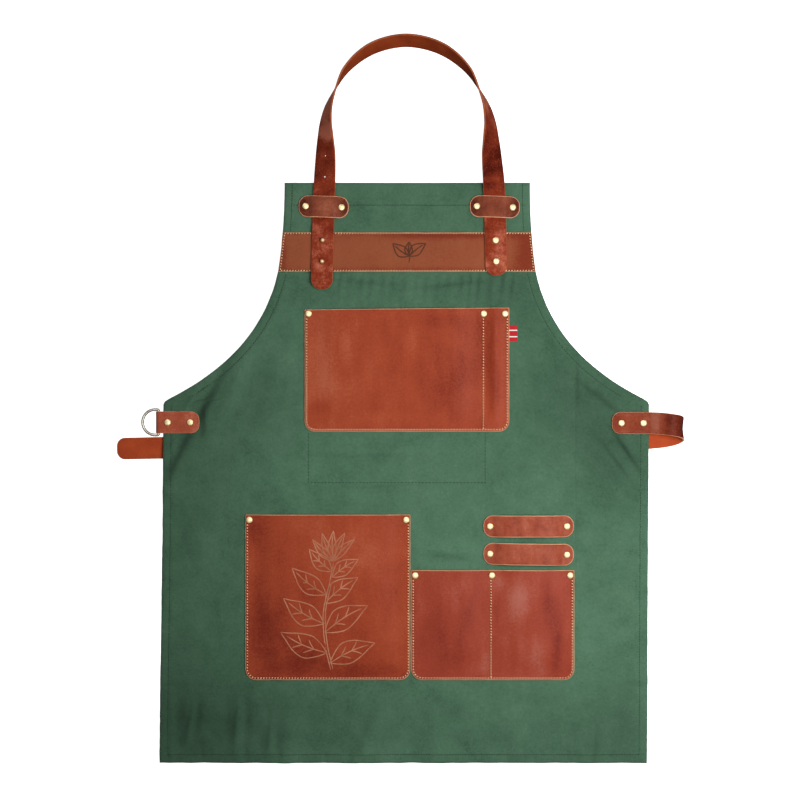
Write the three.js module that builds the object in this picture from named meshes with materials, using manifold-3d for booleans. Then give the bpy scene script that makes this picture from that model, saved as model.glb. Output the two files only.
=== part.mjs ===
// A gardening apron of green canvas with leather pockets, straps and tool loops, laid out flat
// on a surface. Millimetres. +X is to the right of the apron as seen from the front, +Y runs up
// from the waist to the neck, +Z points away from the surface. The origin lies on the surface,
// where the apron's centre line crosses the middle of the waist strap.
import * as THREE from "three";
import { mergeVertices } from "three/addons/utils/BufferGeometryUtils.js";
import Module from "manifold-3d";

const wasm = await Module();
wasm.setup();

// Stock: canvas, leather, rivets and the play between touching pieces
const GAP = 0.3;
const CANVAS = 1.0;
const HEM_FOLD = 1.0;
const STRAP_LEATHER = 2.6;
const PANEL_LEATHER = 1.8;
const STRAP_WIDTH = 30;
const RIVET = {
  cap: 4.5, dome: 1.7, rim: 1, shoulder: 0.86, shank: 1.4, back: 4, plate: 0.7, sides: 10,
};
const STUD = { ball: 3.1, sunk: 0.8, neck: 1.5, back: 4.6, plate: 0.7, sides: 10 };
const STUD_RINGS = [-35, 0, 40];
const ROUND_END = { rows: 5, tip: 0.2 };
const HOLE_PLAY = 0.4;
const DRILL = { reach: 40, sides: 8 };
const FOOT_CLEARANCE = 0.1;

// Canvas outline, heights above and below the waist line, half widths from the centre line
const BIB = { top: 358.6, topHalf: 169, bandHalf: 177.5, flare: 2.2 };
const WAIST = { cornerY: 58.7, half: 334.5, cornerCut: 3.3, cornerDrop: 6.5 };
const SKIRT = { drop: 441.3, flare: 1.5 };
const LEAN = { bib: 0.005, skirt: 0.009 };
const HEM = { side: 13, bottom: 13, top: 32, step: 0.6 };
const ARMHOLE_PULL = [
  { out: 0.114, down: 0.46 },
  { out: 0.465, down: 0.771 },
];
const ARMHOLE_ROWS = [0.16, 0.32, 0.47, 0.61, 0.74, 0.85, 0.94];
const HALVINGS = 30;
const SKIRT_ROWS = 13;
const CANVAS_COLUMNS = 18;
const LOOP_STEPS = 2;

// How the canvas lies: it rides on the tab, the strap and the rivets, and settles at the hems
const SETTLE = { width: 60, from: 45, to: 110 };
const FOLD_CLEAR = { near: 34, far: 66 };
const FOLDS = [
  { out: -0.83, down: 0.27, turn: 62, length: 0.13, width: 22, height: 3.2 },
  { out: 0.86, down: 0.24, turn: 118, length: 0.12, width: 22, height: 2.6 },
  { out: -0.9, down: 0.62, turn: 8, length: 0.06, width: 24, height: 2.4 },
  { out: -0.5, down: 0.98, turn: 80, length: 0.09, width: 22, height: 3.8 },
  { out: 0.82, down: 0.48, turn: 20, length: 0.08, width: 22, height: 2.8 },
  { out: 0.12, down: 1.0, turn: 95, length: 0.08, width: 26, height: 2.6 },
  { out: 0.76, down: 0.97, turn: 84, length: 0.1, width: 24, height: 3.0 },
];

// Leather laid on the canvas, each piece placed from the one that it lines up with
const BAND = { below: 68.6, height: 54 };
const SEAM = { flat: 10.5, divider: 5.8, ramp: 18, narrow: 0.34, inset: 5.5, mouthInset: 7 };
const PILLOW = { halfway: 0.6, crown: 1.12, belly: 0.4 };
const CORNER = { radius: 14, steps: 4 };
const CHEST = { left: -139.5, width: 281.5, height: 169, below: 51, gape: 4.6, divider: 0.876 };
const SKIRT_POCKETS = { left: -221, bottom: -326, between: 1.4 };
const LARGE = { width: 226.8, height: 227.5, gape: 4.6 };
const TOOL = { width: 224.3, height: 151, gape: 4.6, divider: 0.495 };
const TOOL_LOOP = { length: 124.5, inset: 0.6, rivetIn: 9.35, bow: 6.2 };
const TOOL_LOOPS = [
  { name: "lower", above: 7.1, turn: -0.75 },
  { name: "upper", above: 45.5, turn: 0 },
];
const LOOP_BOW = [
  { out: 1, rise: 0 },
  { out: 0.82, rise: 0.55 },
  { out: 0.62, rise: 0.9 },
  { out: 0, rise: 1 },
];
const SIDE_TAG = { below: 22.8, height: 22.4, reach: 11.5, thick: 1.1 };

// Neck strap: two legs held by keepers, and a loop that stands on its edge above the bib
const NECK = { centre: 4.4, drift: 4, inset: 37, lean: 0.024, rise: 188.4, crownTilt: 107 };
const FASTENER = { up: 13.8, count: 2 };
const LEFT_TAIL = 38.3;
const RIGHT_TAIL = 19.3;
const KEYHOLE = { radius: 2, slit: 7.2, slitWidth: 0.9, deep: 8, pitch: 29, spare: 4 };
const KEEPER = { below: 33.4, wing: 19.5, rivetIn: 9.75, turn: -2 };
const NECK_LOOP = [
  { out: 0.991, up: 0.03, tilt: 10, lift: 1.06 },
  { out: 0.976, up: 0.144, tilt: 20, lift: 0.5 },
  { out: 0.963, up: 0.232, tilt: 28, lift: 0.22 },
  { out: 0.945, up: 0.32, tilt: 42, lift: 0.06 },
  { out: 0.916, up: 0.437, tilt: 57, lift: 0 },
  { out: 0.862, up: 0.555, tilt: 69, lift: 0 },
  { out: 0.766, up: 0.672, tilt: 82, lift: 0 },
  { out: 0.648, up: 0.79, tilt: 94, lift: 0 },
  { out: 0.509, up: 0.878, tilt: 100, lift: 0 },
  { out: 0.373, up: 0.937, tilt: 104, lift: 0 },
  { out: 0.258, up: 0.969, tilt: 106, lift: 0 },
  { out: 0.13, up: 0.991, tilt: 107, lift: 0 },
];

// Waist strap: riveted at the right, turned back under the apron, its end past the left side
const WAIST_STRAP = { onCanvas: 51, rivetIn: 13, hemShare: 0.6, slope: 0.0198, clear: 2, tail: 64 };
const WAIST_TURN = { reach: 45, height: 21, steps: 3 };
const TURN_OVER = [
  { out: 0.35, up: 0.62, back: 0.03 },
  { out: 0.7, up: 1, back: 0.12 },
];
const TURN_BACK = [
  { out: 0.94, up: 0.72, back: 0.24 },
  { out: 1, up: 0.4, back: 0.41 },
  { out: 0.944, up: 0.14, back: 0.58 },
  { out: 0.785, up: 0.02, back: 0.74 },
  { out: 0.48, up: 0, back: 0.89 },
  { out: 0.2, up: 0, back: 0.96 },
];

// Ring tab at the left side, folded round the bar of the D ring
const TAB = { onCanvas: 50, rivetIn: 12.5, hemShare: 0.5, bends: 8, straight: 2.5 };
const RING = { wire: 4, play: 1, out: 6, arch: 5.2, corner: 2.4, sides: 8, clear: 0.7, bow: 9 };

const MATERIALS = {
  canvas: new THREE.MeshStandardMaterial({ color: 0x4b6c55, roughness: 0.9, metalness: 0 }),
  leather: new THREE.MeshStandardMaterial({ color: 0x94442e, roughness: 0.5, metalness: 0 }),
  brass: new THREE.MeshStandardMaterial({ color: 0xd9b866, roughness: 0.3, metalness: 1 }),
  nickel: new THREE.MeshStandardMaterial({ color: 0xb9b29c, roughness: 0.25, metalness: 1 }),
  tag: new THREE.MeshStandardMaterial({ color: 0xb8322f, roughness: 0.8, metalness: 0 }),
};

// Heights of the layers above the surface, from the bottom up
const tabBack = FOOT_CLEARANCE + RIVET.plate + GAP;
const lieLevel = Math.max(tabBack + PANEL_LEATHER, STRAP_LEATHER) + GAP + HEM_FOLD;
const canvasTop = lieLevel + CANVAS;
const hemUnderside = lieLevel - HEM_FOLD;
const panelBase = canvasTop + GAP;
const panelTop = panelBase + PANEL_LEATHER;
const panelMiddle = panelBase + PANEL_LEATHER / 2;
const strapOnCanvas = canvasTop + GAP + STRAP_LEATHER / 2;
const strapOnBand = panelTop + GAP + STRAP_LEATHER / 2;
const strapOnFloor = STRAP_LEATHER / 2;
const strapHalf = STRAP_WIDTH / 2;

const smooth = (t) => THREE.MathUtils.smoothstep(t, 0, 1);
const mix = THREE.MathUtils.lerp;
const radians = THREE.MathUtils.degToRad;
const vec = (x, y, z) => new THREE.Vector3(x, y, z);

// Places worked out from the sizes above, from the bib down to the skirt
const bandTop = BIB.top - BAND.below;
const bandBottom = bandTop - BAND.height;
const keeperY = BIB.top - KEEPER.below;
const keeperHalf = strapHalf + KEEPER.wing;
const neckEdge = BIB.topHalf - NECK.inset;
const fastenerYs = Array.from(
  { length: FASTENER.count },
  (_, i) => bandBottom + FASTENER.up + i * KEYHOLE.pitch,
);
const pocket = (left, bottom, { width, height, gape, divider }) => ({
  left,
  right: left + width,
  top: bottom + height,
  bottom,
  gape,
  dividers: divider ? [left + divider * width] : [],
});
const chestPocket = pocket(CHEST.left, bandBottom - CHEST.below - CHEST.height, CHEST);
const largePocket = pocket(SKIRT_POCKETS.left, SKIRT_POCKETS.bottom, LARGE);
const toolLeft = largePocket.right + SKIRT_POCKETS.between;
const toolPocket = pocket(toolLeft, SKIRT_POCKETS.bottom, TOOL);
const toolLoops = TOOL_LOOPS.map(({ name, above, turn }) => ({
  name: `tool_loop_${name}`,
  x: toolPocket.right - TOOL_LOOP.inset - TOOL_LOOP.length / 2,
  y: toolPocket.top + above + strapHalf,
  turn,
}));
const ringHalf = strapHalf + RING.play / 2 + RING.wire;
const waistRun = (x) => WAIST_STRAP.slope * x;
const waistY = waistRun(WAIST.half) + strapHalf + RIVET.back + WAIST_STRAP.clear;
const waistStart = WAIST.half - WAIST_STRAP.onCanvas;
const tabY = waistRun(-WAIST.half) + strapHalf + RING.clear + ringHalf;
const tabEnd = TAB.onCanvas - WAIST.half;

// The ring's bar lies in the fold of the tab, midway between its two leaves
const backLeaf = hemUnderside - GAP - PANEL_LEATHER / 2;
const barZ = (panelMiddle + backLeaf) / 2;
const barX = -WAIST.half - RING.out;
const foldRadius = RING.wire / 2 + GAP + PANEL_LEATHER / 2;

/** Builds a geometry from points and faces given as point numbers. */
function geometryOf(points, faces) {
  const geometry = new THREE.BufferGeometry();
  geometry.setAttribute("position", new THREE.Float32BufferAttribute(points.flat(), 3));
  geometry.setIndex(faces.flat());
  return geometry;
}

/** Closed sheet from rows of { x, y, lo, hi }: a lower and an upper skin joined round the rim. */
function sheetSolid(rows) {
  const across = rows[0].length;
  const low = rows.flat().map((p) => [p.x, p.y, p.lo]);
  const high = rows.flat().map((p) => [p.x, p.y, p.hi]);
  const shift = low.length;
  const faces = [];
  for (let r = 0; r + 1 < rows.length; r++) {
    for (let c = 0; c + 1 < across; c++) {
      const [a, b] = [r * across + c, r * across + c + 1];
      const [d, e] = [a + across, b + across];
      faces.push([a, b, e], [a, e, d]);
      faces.push([a + shift, e + shift, b + shift], [a + shift, d + shift, e + shift]);
    }
  }
  const last = (rows.length - 1) * across;
  const rim = [];
  for (let c = 0; c < across; c++) rim.push(c);
  for (let r = 1; r < rows.length; r++) rim.push(r * across + across - 1);
  for (let c = across - 2; c >= 0; c--) rim.push(last + c);
  for (let r = rows.length - 2; r > 0; r--) rim.push(r * across);
  rim.forEach((a, i) => {
    const b = rim[(i + 1) % rim.length];
    faces.push([a, a + shift, b], [b, a + shift, b + shift]);
  });
  return geometryOf([...low, ...high], faces);
}

/** Closed strap of a thickness about stations of { at, side, half }, none below the surface. */
function strapSolid(stations, thickness) {
  const points = [];
  framed(stations).forEach((s) => {
    const reach = s.half * Math.abs(s.side.z) + (thickness / 2) * Math.abs(s.normal.z);
    s.at.z = Math.max(s.at.z, reach);
    for (const [across, up] of [[-1, -1], [1, -1], [1, 1], [-1, 1]]) {
      const corner = s.at.clone().addScaledVector(s.side, across * s.half);
      points.push(corner.addScaledVector(s.normal, (up * thickness) / 2).toArray());
    }
  });
  const faces = [[0, 1, 2], [0, 2, 3]];
  for (let i = 0; i + 1 < stations.length; i++) {
    for (let k = 0; k < 4; k++) {
      const [a, b] = [4 * i + k, 4 * i + ((k + 1) % 4)];
      faces.push([a, a + 4, b + 4], [a, b + 4, b]);
    }
  }
  const end = 4 * (stations.length - 1);
  faces.push([end, end + 2, end + 1], [end, end + 3, end + 2]);
  return geometryOf(points, faces);
}

/** Squares each station to its path, and gives it its normal. */
function framed(stations) {
  stations.forEach((s, i) => {
    const before = stations[Math.max(i - 1, 0)].at;
    const after = stations[Math.min(i + 1, stations.length - 1)].at;
    s.along = after.clone().sub(before).normalize();
    s.side.addScaledVector(s.along, -s.side.dot(s.along)).normalize();
    s.normal = s.side.clone().cross(s.along).normalize();
  });
  return stations;
}

/** Points of an arc in the plane, angles in degrees. */
function arcPoints(centreX, centreY, radius, from, to, steps) {
  return Array.from({ length: steps + 1 }, (_, i) => {
    const angle = radians(mix(from, to, i / steps));
    return vec(centreX + radius * Math.cos(angle), centreY + radius * Math.sin(angle), 0);
  });
}

/** Half widths of a rounded strap end, as { back, half } from the tip inwards. */
function roundedEnd(half) {
  return Array.from({ length: ROUND_END.rows }, (_, i) => {
    const angle = (Math.PI / 2) * (i / (ROUND_END.rows - 1));
    const width = Math.max(Math.sin(angle), ROUND_END.tip);
    return { back: half * (1 - Math.cos(angle)), half: half * width };
  });
}

/** A closed mesh as a solid for cutting. */
function manifoldOf(geometry) {
  const bare = new THREE.BufferGeometry();
  const flat = geometry.index ? geometry.toNonIndexed() : geometry;
  bare.setAttribute("position", flat.getAttribute("position"));
  const merged = mergeVertices(bare, 1e-4);
  return new wasm.Manifold(
    new wasm.Mesh({
      numProp: 3,
      vertProperties: merged.attributes.position.array,
      triVerts: new Uint32Array(merged.index.array),
    }),
  );
}

/** The geometry with each of the cutters taken out of it. */
function cut(geometry, cutters) {
  if (cutters.length === 0) return geometry;
  let solid = manifoldOf(geometry);
  cutters.forEach((c) => (solid = solid.subtract(manifoldOf(c))));
  const mesh = solid.getMesh();
  const made = new THREE.BufferGeometry();
  made.setAttribute("position", new THREE.BufferAttribute(mesh.vertProperties, 3));
  made.setIndex(new THREE.BufferAttribute(mesh.triVerts, 1));
  return made;
}

/** Drill for a rivet or stud shank at a place on the apron. */
function drill({ x, y, radius }) {
  const bit = new THREE.CylinderGeometry(radius, radius, DRILL.reach, DRILL.sides);
  return bit.rotateX(Math.PI / 2).translate(x, y, 0);
}

/** Half width of the canvas at a height above or below the waist line. */
function halfWidthAt(y) {
  if (y >= bandBottom) {
    const down = (BIB.top - y) / (BIB.top - bandBottom);
    return mix(BIB.topHalf, BIB.bandHalf, down ** BIB.flare);
  }
  if (y >= WAIST.cornerY) return armholeHalfAt(y);
  const below = (WAIST.cornerY - y) / WAIST.cornerDrop;
  if (below < 1) return mix(WAIST.half - WAIST.cornerCut, WAIST.half, below);
  return WAIST.half + SKIRT.flare * smooth(-y / SKIRT.drop);
}

/** The canvas lies with its centre line a little out of true. */
const centreAt = (y) => y * (y > 0 ? LEAN.bib : LEAN.skirt);

/** The armhole as a curve in the plane, from the band's lower end to the waist corner. */
const armhole = (() => {
  const start = new THREE.Vector2(BIB.bandHalf, bandBottom);
  const end = new THREE.Vector2(WAIST.half - WAIST.cornerCut, WAIST.cornerY);
  const pulls = ARMHOLE_PULL.map(
    (p) => new THREE.Vector2(mix(start.x, end.x, p.out), mix(start.y, end.y, p.down)),
  );
  return new THREE.CubicBezierCurve(start, pulls[0], pulls[1], end);
})();

/** Half width at a height between the band and the waist corner. */
function armholeHalfAt(y) {
  let [low, high] = [0, 1];
  for (let i = 0; i < HALVINGS; i++) {
    const middle = (low + high) / 2;
    if (armhole.getPoint(middle).y > y) low = middle;
    else high = middle;
  }
  return armhole.getPoint(low).x;
}

/** Distance from a point to a rectangle, 0 inside it. */
function awayFrom({ left, right, top, bottom }, x, y) {
  const dx = Math.max(left - x, 0, x - right);
  const dy = Math.max(bottom - y, 0, y - top);
  return Math.hypot(dx, dy);
}

/** A rectangle round a middle, as left, right, top and bottom. */
const around = (x, y, halfWide, halfHigh) => ({
  left: x - halfWide,
  right: x + halfWide,
  top: y + halfHigh,
  bottom: y - halfHigh,
});

/** Places where leather lies on the canvas, which stays flat under them. */
const laidPlaces = [
  { left: -BIB.bandHalf, right: BIB.bandHalf, top: BIB.top, bottom: bandBottom },
  chestPocket,
  largePocket,
  toolPocket,
  ...toolLoops.map(({ x, y }) => around(x, y, TOOL_LOOP.length / 2, strapHalf)),
  around((tabEnd - WAIST.half) / 2, tabY, TAB.onCanvas / 2, strapHalf),
  around((waistStart + WAIST.half) / 2, waistY, WAIST_STRAP.onCanvas / 2, strapHalf),
];

/** Height that the soft folds add to the canvas. */
function foldHeight(x, y) {
  const reach = FOLD_CLEAR.far - FOLD_CLEAR.near;
  const clear = laidPlaces.reduce(
    (least, place) => Math.min(least, smooth((awayFrom(place, x, y) - FOLD_CLEAR.near) / reach)),
    1,
  );
  if (clear === 0) return 0;
  return FOLDS.reduce((sum, fold) => {
    const [dx, dy] = [x - fold.out * WAIST.half, y + fold.down * SKIRT.drop];
    const turn = radians(fold.turn);
    const along = (dx * Math.cos(turn) + dy * Math.sin(turn)) / (fold.length * SKIRT.drop);
    const across = (dy * Math.cos(turn) - dx * Math.sin(turn)) / fold.width;
    return sum + clear * fold.height * Math.exp(-along * along - across * across);
  }, 0);
}

/** Height of the canvas's underside: up on the straps, down to the surface at the skirt's hems. */
function canvasLift(x, y) {
  const inwards = (halfWidthAt(y) - Math.abs(x - centreAt(y))) / SETTLE.width;
  const above = (y + SKIRT.drop) / SETTLE.width;
  const lower = smooth((-y - SETTLE.from) / (SETTLE.to - SETTLE.from));
  const settled = Math.max((1 - smooth(inwards)) * lower, 1 - smooth(above));
  return mix(lieLevel, HEM_FOLD, settled) + foldHeight(x, y);
}

/** Heights at which the band's ends follow the canvas. */
const bandRows = [bandTop, (bandTop + bandBottom) / 2, bandBottom];

/** Rows of the canvas from top to bottom, each with its height, half width and hem depth. */
function canvasRows() {
  const plain = (y, hem) => ({ y, half: halfWidthAt(y), sideHem: HEM.side, hem });
  const hemTop = BIB.top - HEM.top;
  const rows = [plain(BIB.top, true), plain(hemTop, true), plain(hemTop - HEM.step, false)];
  bandRows.forEach((y) => rows.push(plain(y, false)));
  ARMHOLE_ROWS.forEach((t) => {
    const point = armhole.getPoint(t);
    const tangent = armhole.getTangent(t);
    const slant = Math.hypot(tangent.x, tangent.y) / Math.abs(tangent.y);
    rows.push({ y: point.y, half: point.x, sideHem: HEM.side * slant, hem: false });
  });
  const corner = armhole.getTangent(1);
  const cornerHem = (HEM.side * Math.hypot(corner.x, corner.y)) / Math.abs(corner.y);
  rows.push({ ...plain(WAIST.cornerY, false), sideHem: cornerHem });
  const skirtTop = WAIST.cornerY - WAIST.cornerDrop;
  const skirtEnd = -SKIRT.drop + HEM.bottom + HEM.step;
  for (let i = 0; i <= SKIRT_ROWS; i++) {
    rows.push(plain(mix(skirtTop, skirtEnd, i / SKIRT_ROWS), false));
  }
  rows.push(plain(-SKIRT.drop + HEM.bottom, true), plain(-SKIRT.drop, true));
  return rows;
}

/** The canvas body: one sheet, doubled to the back along its hems. */
function canvasBody() {
  return sheetSolid(
    canvasRows().map((row) => {
      const inner = row.half - row.sideHem;
      const places = [{ out: -row.half, hem: true }, { out: -inner, hem: true }];
      for (let c = 0; c <= CANVAS_COLUMNS; c++) {
        const out = mix(-1, 1, c / CANVAS_COLUMNS) * (inner - HEM.step);
        places.push({ out, hem: false });
      }
      places.push({ out: inner, hem: true }, { out: row.half, hem: true });
      return places.map(({ out, hem }) => {
        const x = centreAt(row.y) + out;
        const lift = canvasLift(x, row.y);
        const doubled = hem || row.hem ? HEM_FOLD : 0;
        return { x, y: row.y, lo: lift - doubled, hi: lift + CANVAS };
      });
    }),
  );
}

/** The leather band across the bib, its ends cut to the canvas edges. */
function chestBand(holes) {
  const end = (hand) =>
    bandRows.map((y) => new THREE.Vector2(centreAt(y) + hand * (halfWidthAt(y) - GAP), y));
  const shape = new THREE.Shape([...end(1), ...end(-1).reverse()]);
  holes.forEach(({ x, y, radius }) => {
    const ring = arcPoints(x, y, radius, 0, 360, DRILL.sides).slice(0, -1);
    shape.holes.push(new THREE.Path(ring));
  });
  const plate = new THREE.ExtrudeGeometry(shape, { depth: PANEL_LEATHER, bevelEnabled: false });
  return plate.translate(0, 0, panelBase);
}

/** Columns across a pocket: { x, rise }, flat at the seams and standing off between them. */
function pocketColumns({ left, right, dividers }) {
  const seams = [left, ...dividers, right];
  const columns = [];
  for (let i = 0; i + 1 < seams.length; i++) {
    const start = seams[i] + (i === 0 ? SEAM.flat : SEAM.divider);
    const stop = seams[i + 1] - (i + 2 === seams.length ? SEAM.flat : SEAM.divider);
    const ramp = Math.min(SEAM.ramp, (stop - start) * SEAM.narrow);
    columns.push(
      { x: seams[i], rise: 0 },
      { x: start, rise: 0 },
      { x: start + ramp / 2, rise: PILLOW.halfway },
      { x: start + ramp, rise: 1 },
      { x: (start + stop) / 2, rise: PILLOW.crown },
      { x: stop - ramp, rise: 1 },
      { x: stop - ramp / 2, rise: PILLOW.halfway },
      { x: stop, rise: 0 },
    );
  }
  columns.push({ x: right, rise: 0 });
  return columns;
}

/** Rows down a pocket: { y, rise, cut }, open at the mouth and sewn down along the bottom. */
function pocketRows({ top, bottom }) {
  const { radius, steps } = CORNER;
  const flat = bottom + SEAM.flat;
  const risen = flat + SEAM.ramp;
  const corners = arcPoints(0, bottom + radius, radius, 270, 360, steps).map((p) => p.y);
  const between = [mix(top, risen, PILLOW.belly), risen, mix(risen, flat, PILLOW.belly), flat];
  return [top, ...between, ...corners]
    .sort((a, b) => b - a)
    .map((y) => {
      const into = Math.max(bottom + radius - y, 0);
      const cutIn = radius - Math.sqrt(Math.max(radius * radius - into * into, 0));
      return { y, cut: cutIn, rise: smooth((y - flat) / SEAM.ramp) };
    });
}

/** A leather pocket: sewn down at the sides and bottom, standing off the canvas at its mouth. */
function pocketPanel(place) {
  const columns = pocketColumns(place);
  const { left, right, gape } = place;
  return sheetSolid(
    pocketRows(place).map((row) =>
      columns.map((column) => {
        const share = (column.x - left) / (right - left);
        const x = mix(left + row.cut, right - row.cut, share);
        const lo = panelBase + gape * row.rise * column.rise;
        return { x, y: row.y, lo, hi: lo + PANEL_LEATHER };
      }),
    ),
  );
}

/** A leather band with round ends, run along X and then turned in the plane about its middle. */
function crossBand({ x, y, turn }, profile) {
  const ends = roundedEnd(strapHalf);
  const [first, last] = [profile[0], profile[profile.length - 1]];
  const at = (out, z, half) => ({ at: vec(out, 0, z), side: vec(0, -1, 0), half });
  const stations = ends.map((e) => at(first.out + e.back, first.z, e.half));
  profile.slice(1, -1).forEach(({ out, z }) => stations.push(at(out, z, strapHalf)));
  [...ends].reverse().forEach((e) => stations.push(at(last.out - e.back, last.z, e.half)));
  return strapSolid(stations, PANEL_LEATHER).rotateZ(radians(turn)).translate(x, y, 0);
}

/** Where a cross band's two rivets stand, west and east of its middle. */
function crossRivets({ x, y, turn }, out) {
  return [{ place: "west", hand: -1 }, { place: "east", hand: 1 }].map(({ place, hand }) => ({
    place,
    x: x + hand * out * Math.cos(radians(turn)),
    y: y + hand * out * Math.sin(radians(turn)),
  }));
}

/** Distance of a tool loop's rivets from its middle. */
const loopRivetOut = TOOL_LOOP.length / 2 - TOOL_LOOP.rivetIn;

/** A tool loop: riveted at its ends, bowed off the canvas between them. */
function toolLoop(place) {
  const foot = loopRivetOut - RIVET.cap - GAP;
  const end = { out: TOOL_LOOP.length / 2, z: panelMiddle };
  const bow = LOOP_BOW.map(({ out, rise }) => ({
    out: foot * out,
    z: panelMiddle + TOOL_LOOP.bow * rise,
  }));
  const west = [end, ...bow.slice(0, -1)].map(({ out, z }) => ({ out: -out, z }));
  return crossBand(place, [...west, ...bow.reverse(), end]);
}

/** The place of a keeper, over the left (-1) or the right (+1) leg of the neck strap. */
const keeperPlace = (hand) => ({ x: legX(hand, keeperY), y: keeperY, turn: KEEPER.turn });

/** A keeper: riveted each side of the neck strap and bridging it. */
function neckKeeper(hand) {
  const high = strapOnCanvas + STRAP_LEATHER / 2 + GAP + PANEL_LEATHER / 2;
  const bridge = strapHalf + GAP + PANEL_LEATHER / 2;
  const foot = keeperHalf - KEEPER.rivetIn - RIVET.cap;
  const profile = [-keeperHalf, -foot, -bridge, bridge, foot, keeperHalf].map((out) => ({
    out,
    z: Math.abs(out) > bridge ? panelMiddle : high,
  }));
  return crossBand(keeperPlace(hand), profile);
}

/** Distance of a neck leg's outer edge from the neck strap's centre line. */
const legOut = (y) => neckEdge + NECK.lean * (BIB.top - y);
/** Middle of a neck leg, on the left (-1) or the right (+1). */
const legX = (hand, y) => NECK.centre + hand * (legOut(y) - strapHalf);

/** A neck leg's stations from its tail up through its keeper. */
function neckLeg(hand, tail) {
  const keeperReach = strapHalf + GAP;
  const station = (y, z, half = strapHalf) => ({
    at: vec(legX(hand, y), y, z),
    side: vec(-hand, 0, 0),
    half,
  });
  const end = roundedEnd(strapHalf).map((e) => station(tail + e.back, strapOnBand, e.half));
  const onCanvas = [keeperY - keeperReach, keeperY + keeperReach];
  return [
    ...end,
    station(bandTop + GAP, strapOnBand),
    ...onCanvas.map((y) => station(y, strapOnCanvas)),
  ];
}

/** The neck loop's stations, from the left leg over the crown to the right leg. */
function neckLoop() {
  const foot = { out: 1, up: 0, tilt: 0, lift: 1 };
  const crown = { out: 0, up: 1, tilt: NECK.crownTilt, lift: 0 };
  const rise = [foot, ...NECK_LOOP];
  const rows = [
    ...rise.map((row) => ({ ...row, hand: -1 })),
    { ...crown, hand: 1 },
    ...[...rise].reverse().map((row) => ({ ...row, hand: 1 })),
  ];
  const start = keeperY + strapHalf + 2 * GAP;
  const line = new THREE.CatmullRomCurve3(
    rows.map(({ hand, out, up, tilt, lift }) => {
      const x = NECK.centre - NECK.drift * up + hand * out * neckEdge;
      const y = up === 0 ? start : BIB.top + up * NECK.rise;
      return vec(x, y, mix(strapOnFloor * Math.abs(Math.cos(radians(tilt))), strapOnCanvas, lift));
    }),
  );
  const spans = rows.length - 1;
  const steps = spans * LOOP_STEPS;
  return Array.from({ length: steps - 1 }, (_, i) => {
    const place = ((i + 1) / steps) * spans;
    const low = Math.floor(place);
    const tilt = radians(mix(rows[low].tilt, rows[low + 1].tilt, place - low));
    const along = line.getTangent(place / spans).setZ(0).normalize();
    const inwards = along.cross(vec(0, 0, 1));
    const side = inwards.multiplyScalar(Math.cos(tilt)).add(vec(0, 0, Math.sin(tilt)));
    const at = line.getPoint(place / spans).addScaledVector(side, strapHalf);
    return { at, side, half: strapHalf };
  });
}

/** The neck strap's stations, from the left tail over the crown to the right tail. */
function neckStations() {
  const left = neckLeg(-1, fastenerYs[0] - LEFT_TAIL);
  const right = neckLeg(1, fastenerYs[0] - RIGHT_TAIL).reverse();
  return framed([...left, ...neckLoop(), ...right]);
}

/** Place on a strap at a height above the waist line, going up its first leg. */
function stationAt(stations, y) {
  const after = stations.findIndex((s) => s.at.y > y);
  const [a, b] = [stations[after - 1], stations[after]];
  const t = (y - a.at.y) / (b.at.y - a.at.y);
  return {
    at: a.at.clone().lerp(b.at, t),
    side: a.side.clone().lerp(b.side, t).normalize(),
    along: a.along.clone().lerp(b.along, t).normalize(),
  };
}

/** A keyhole cutter: a round hole with a slit above it, square to the strap. */
function keyhole({ at, side, along }) {
  const { radius, slit, slitWidth, deep } = KEYHOLE;
  const round = new THREE.CylinderGeometry(radius, radius, deep, DRILL.sides);
  const slot = new THREE.BoxGeometry(slitWidth, slit, deep).translate(0, slit / 2, 0);
  const normal = side.clone().cross(along).normalize();
  const turn = new THREE.Matrix4().makeBasis(side, normal.clone().cross(side), normal);
  turn.setPosition(at);
  return [round.rotateX(Math.PI / 2), slot].map((cutter) => cutter.applyMatrix4(turn));
}

/** The neck strap with keyholes up its left leg and rivet holes in its right one. */
function neckStrap(holes) {
  const stations = neckStations();
  const count = FASTENER.count + KEYHOLE.spare;
  const slots = Array.from({ length: count }, (_, i) =>
    keyhole(stationAt(stations, fastenerYs[0] + i * KEYHOLE.pitch)),
  );
  return cut(strapSolid(stations, STRAP_LEATHER), [...slots.flat(), ...holes.map(drill)]);
}

/** The turned part of the waist strap, from the apron's edge out, over and back under it. */
function waistTurn() {
  const edge = WAIST.half;
  const drift = waistY - waistRun(edge);
  const leg = (rows, low) =>
    rows.map(({ out, up, back }) =>
      vec(edge + out * WAIST_TURN.reach, waistY - back * drift, mix(low, WAIST_TURN.height, up)),
    );
  const line = new THREE.CatmullRomCurve3([
    vec(edge, waistY, strapOnCanvas),
    ...leg(TURN_OVER, strapOnCanvas),
    ...leg(TURN_BACK, strapOnFloor),
    vec(edge, waistRun(edge), strapOnFloor),
  ]);
  const steps = (TURN_OVER.length + TURN_BACK.length + 1) * WAIST_TURN.steps;
  return Array.from({ length: steps }, (_, i) => ({
    at: line.getPoint((i + 1) / steps),
    side: vec(0, -1, 0),
    half: strapHalf,
  }));
}

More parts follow.
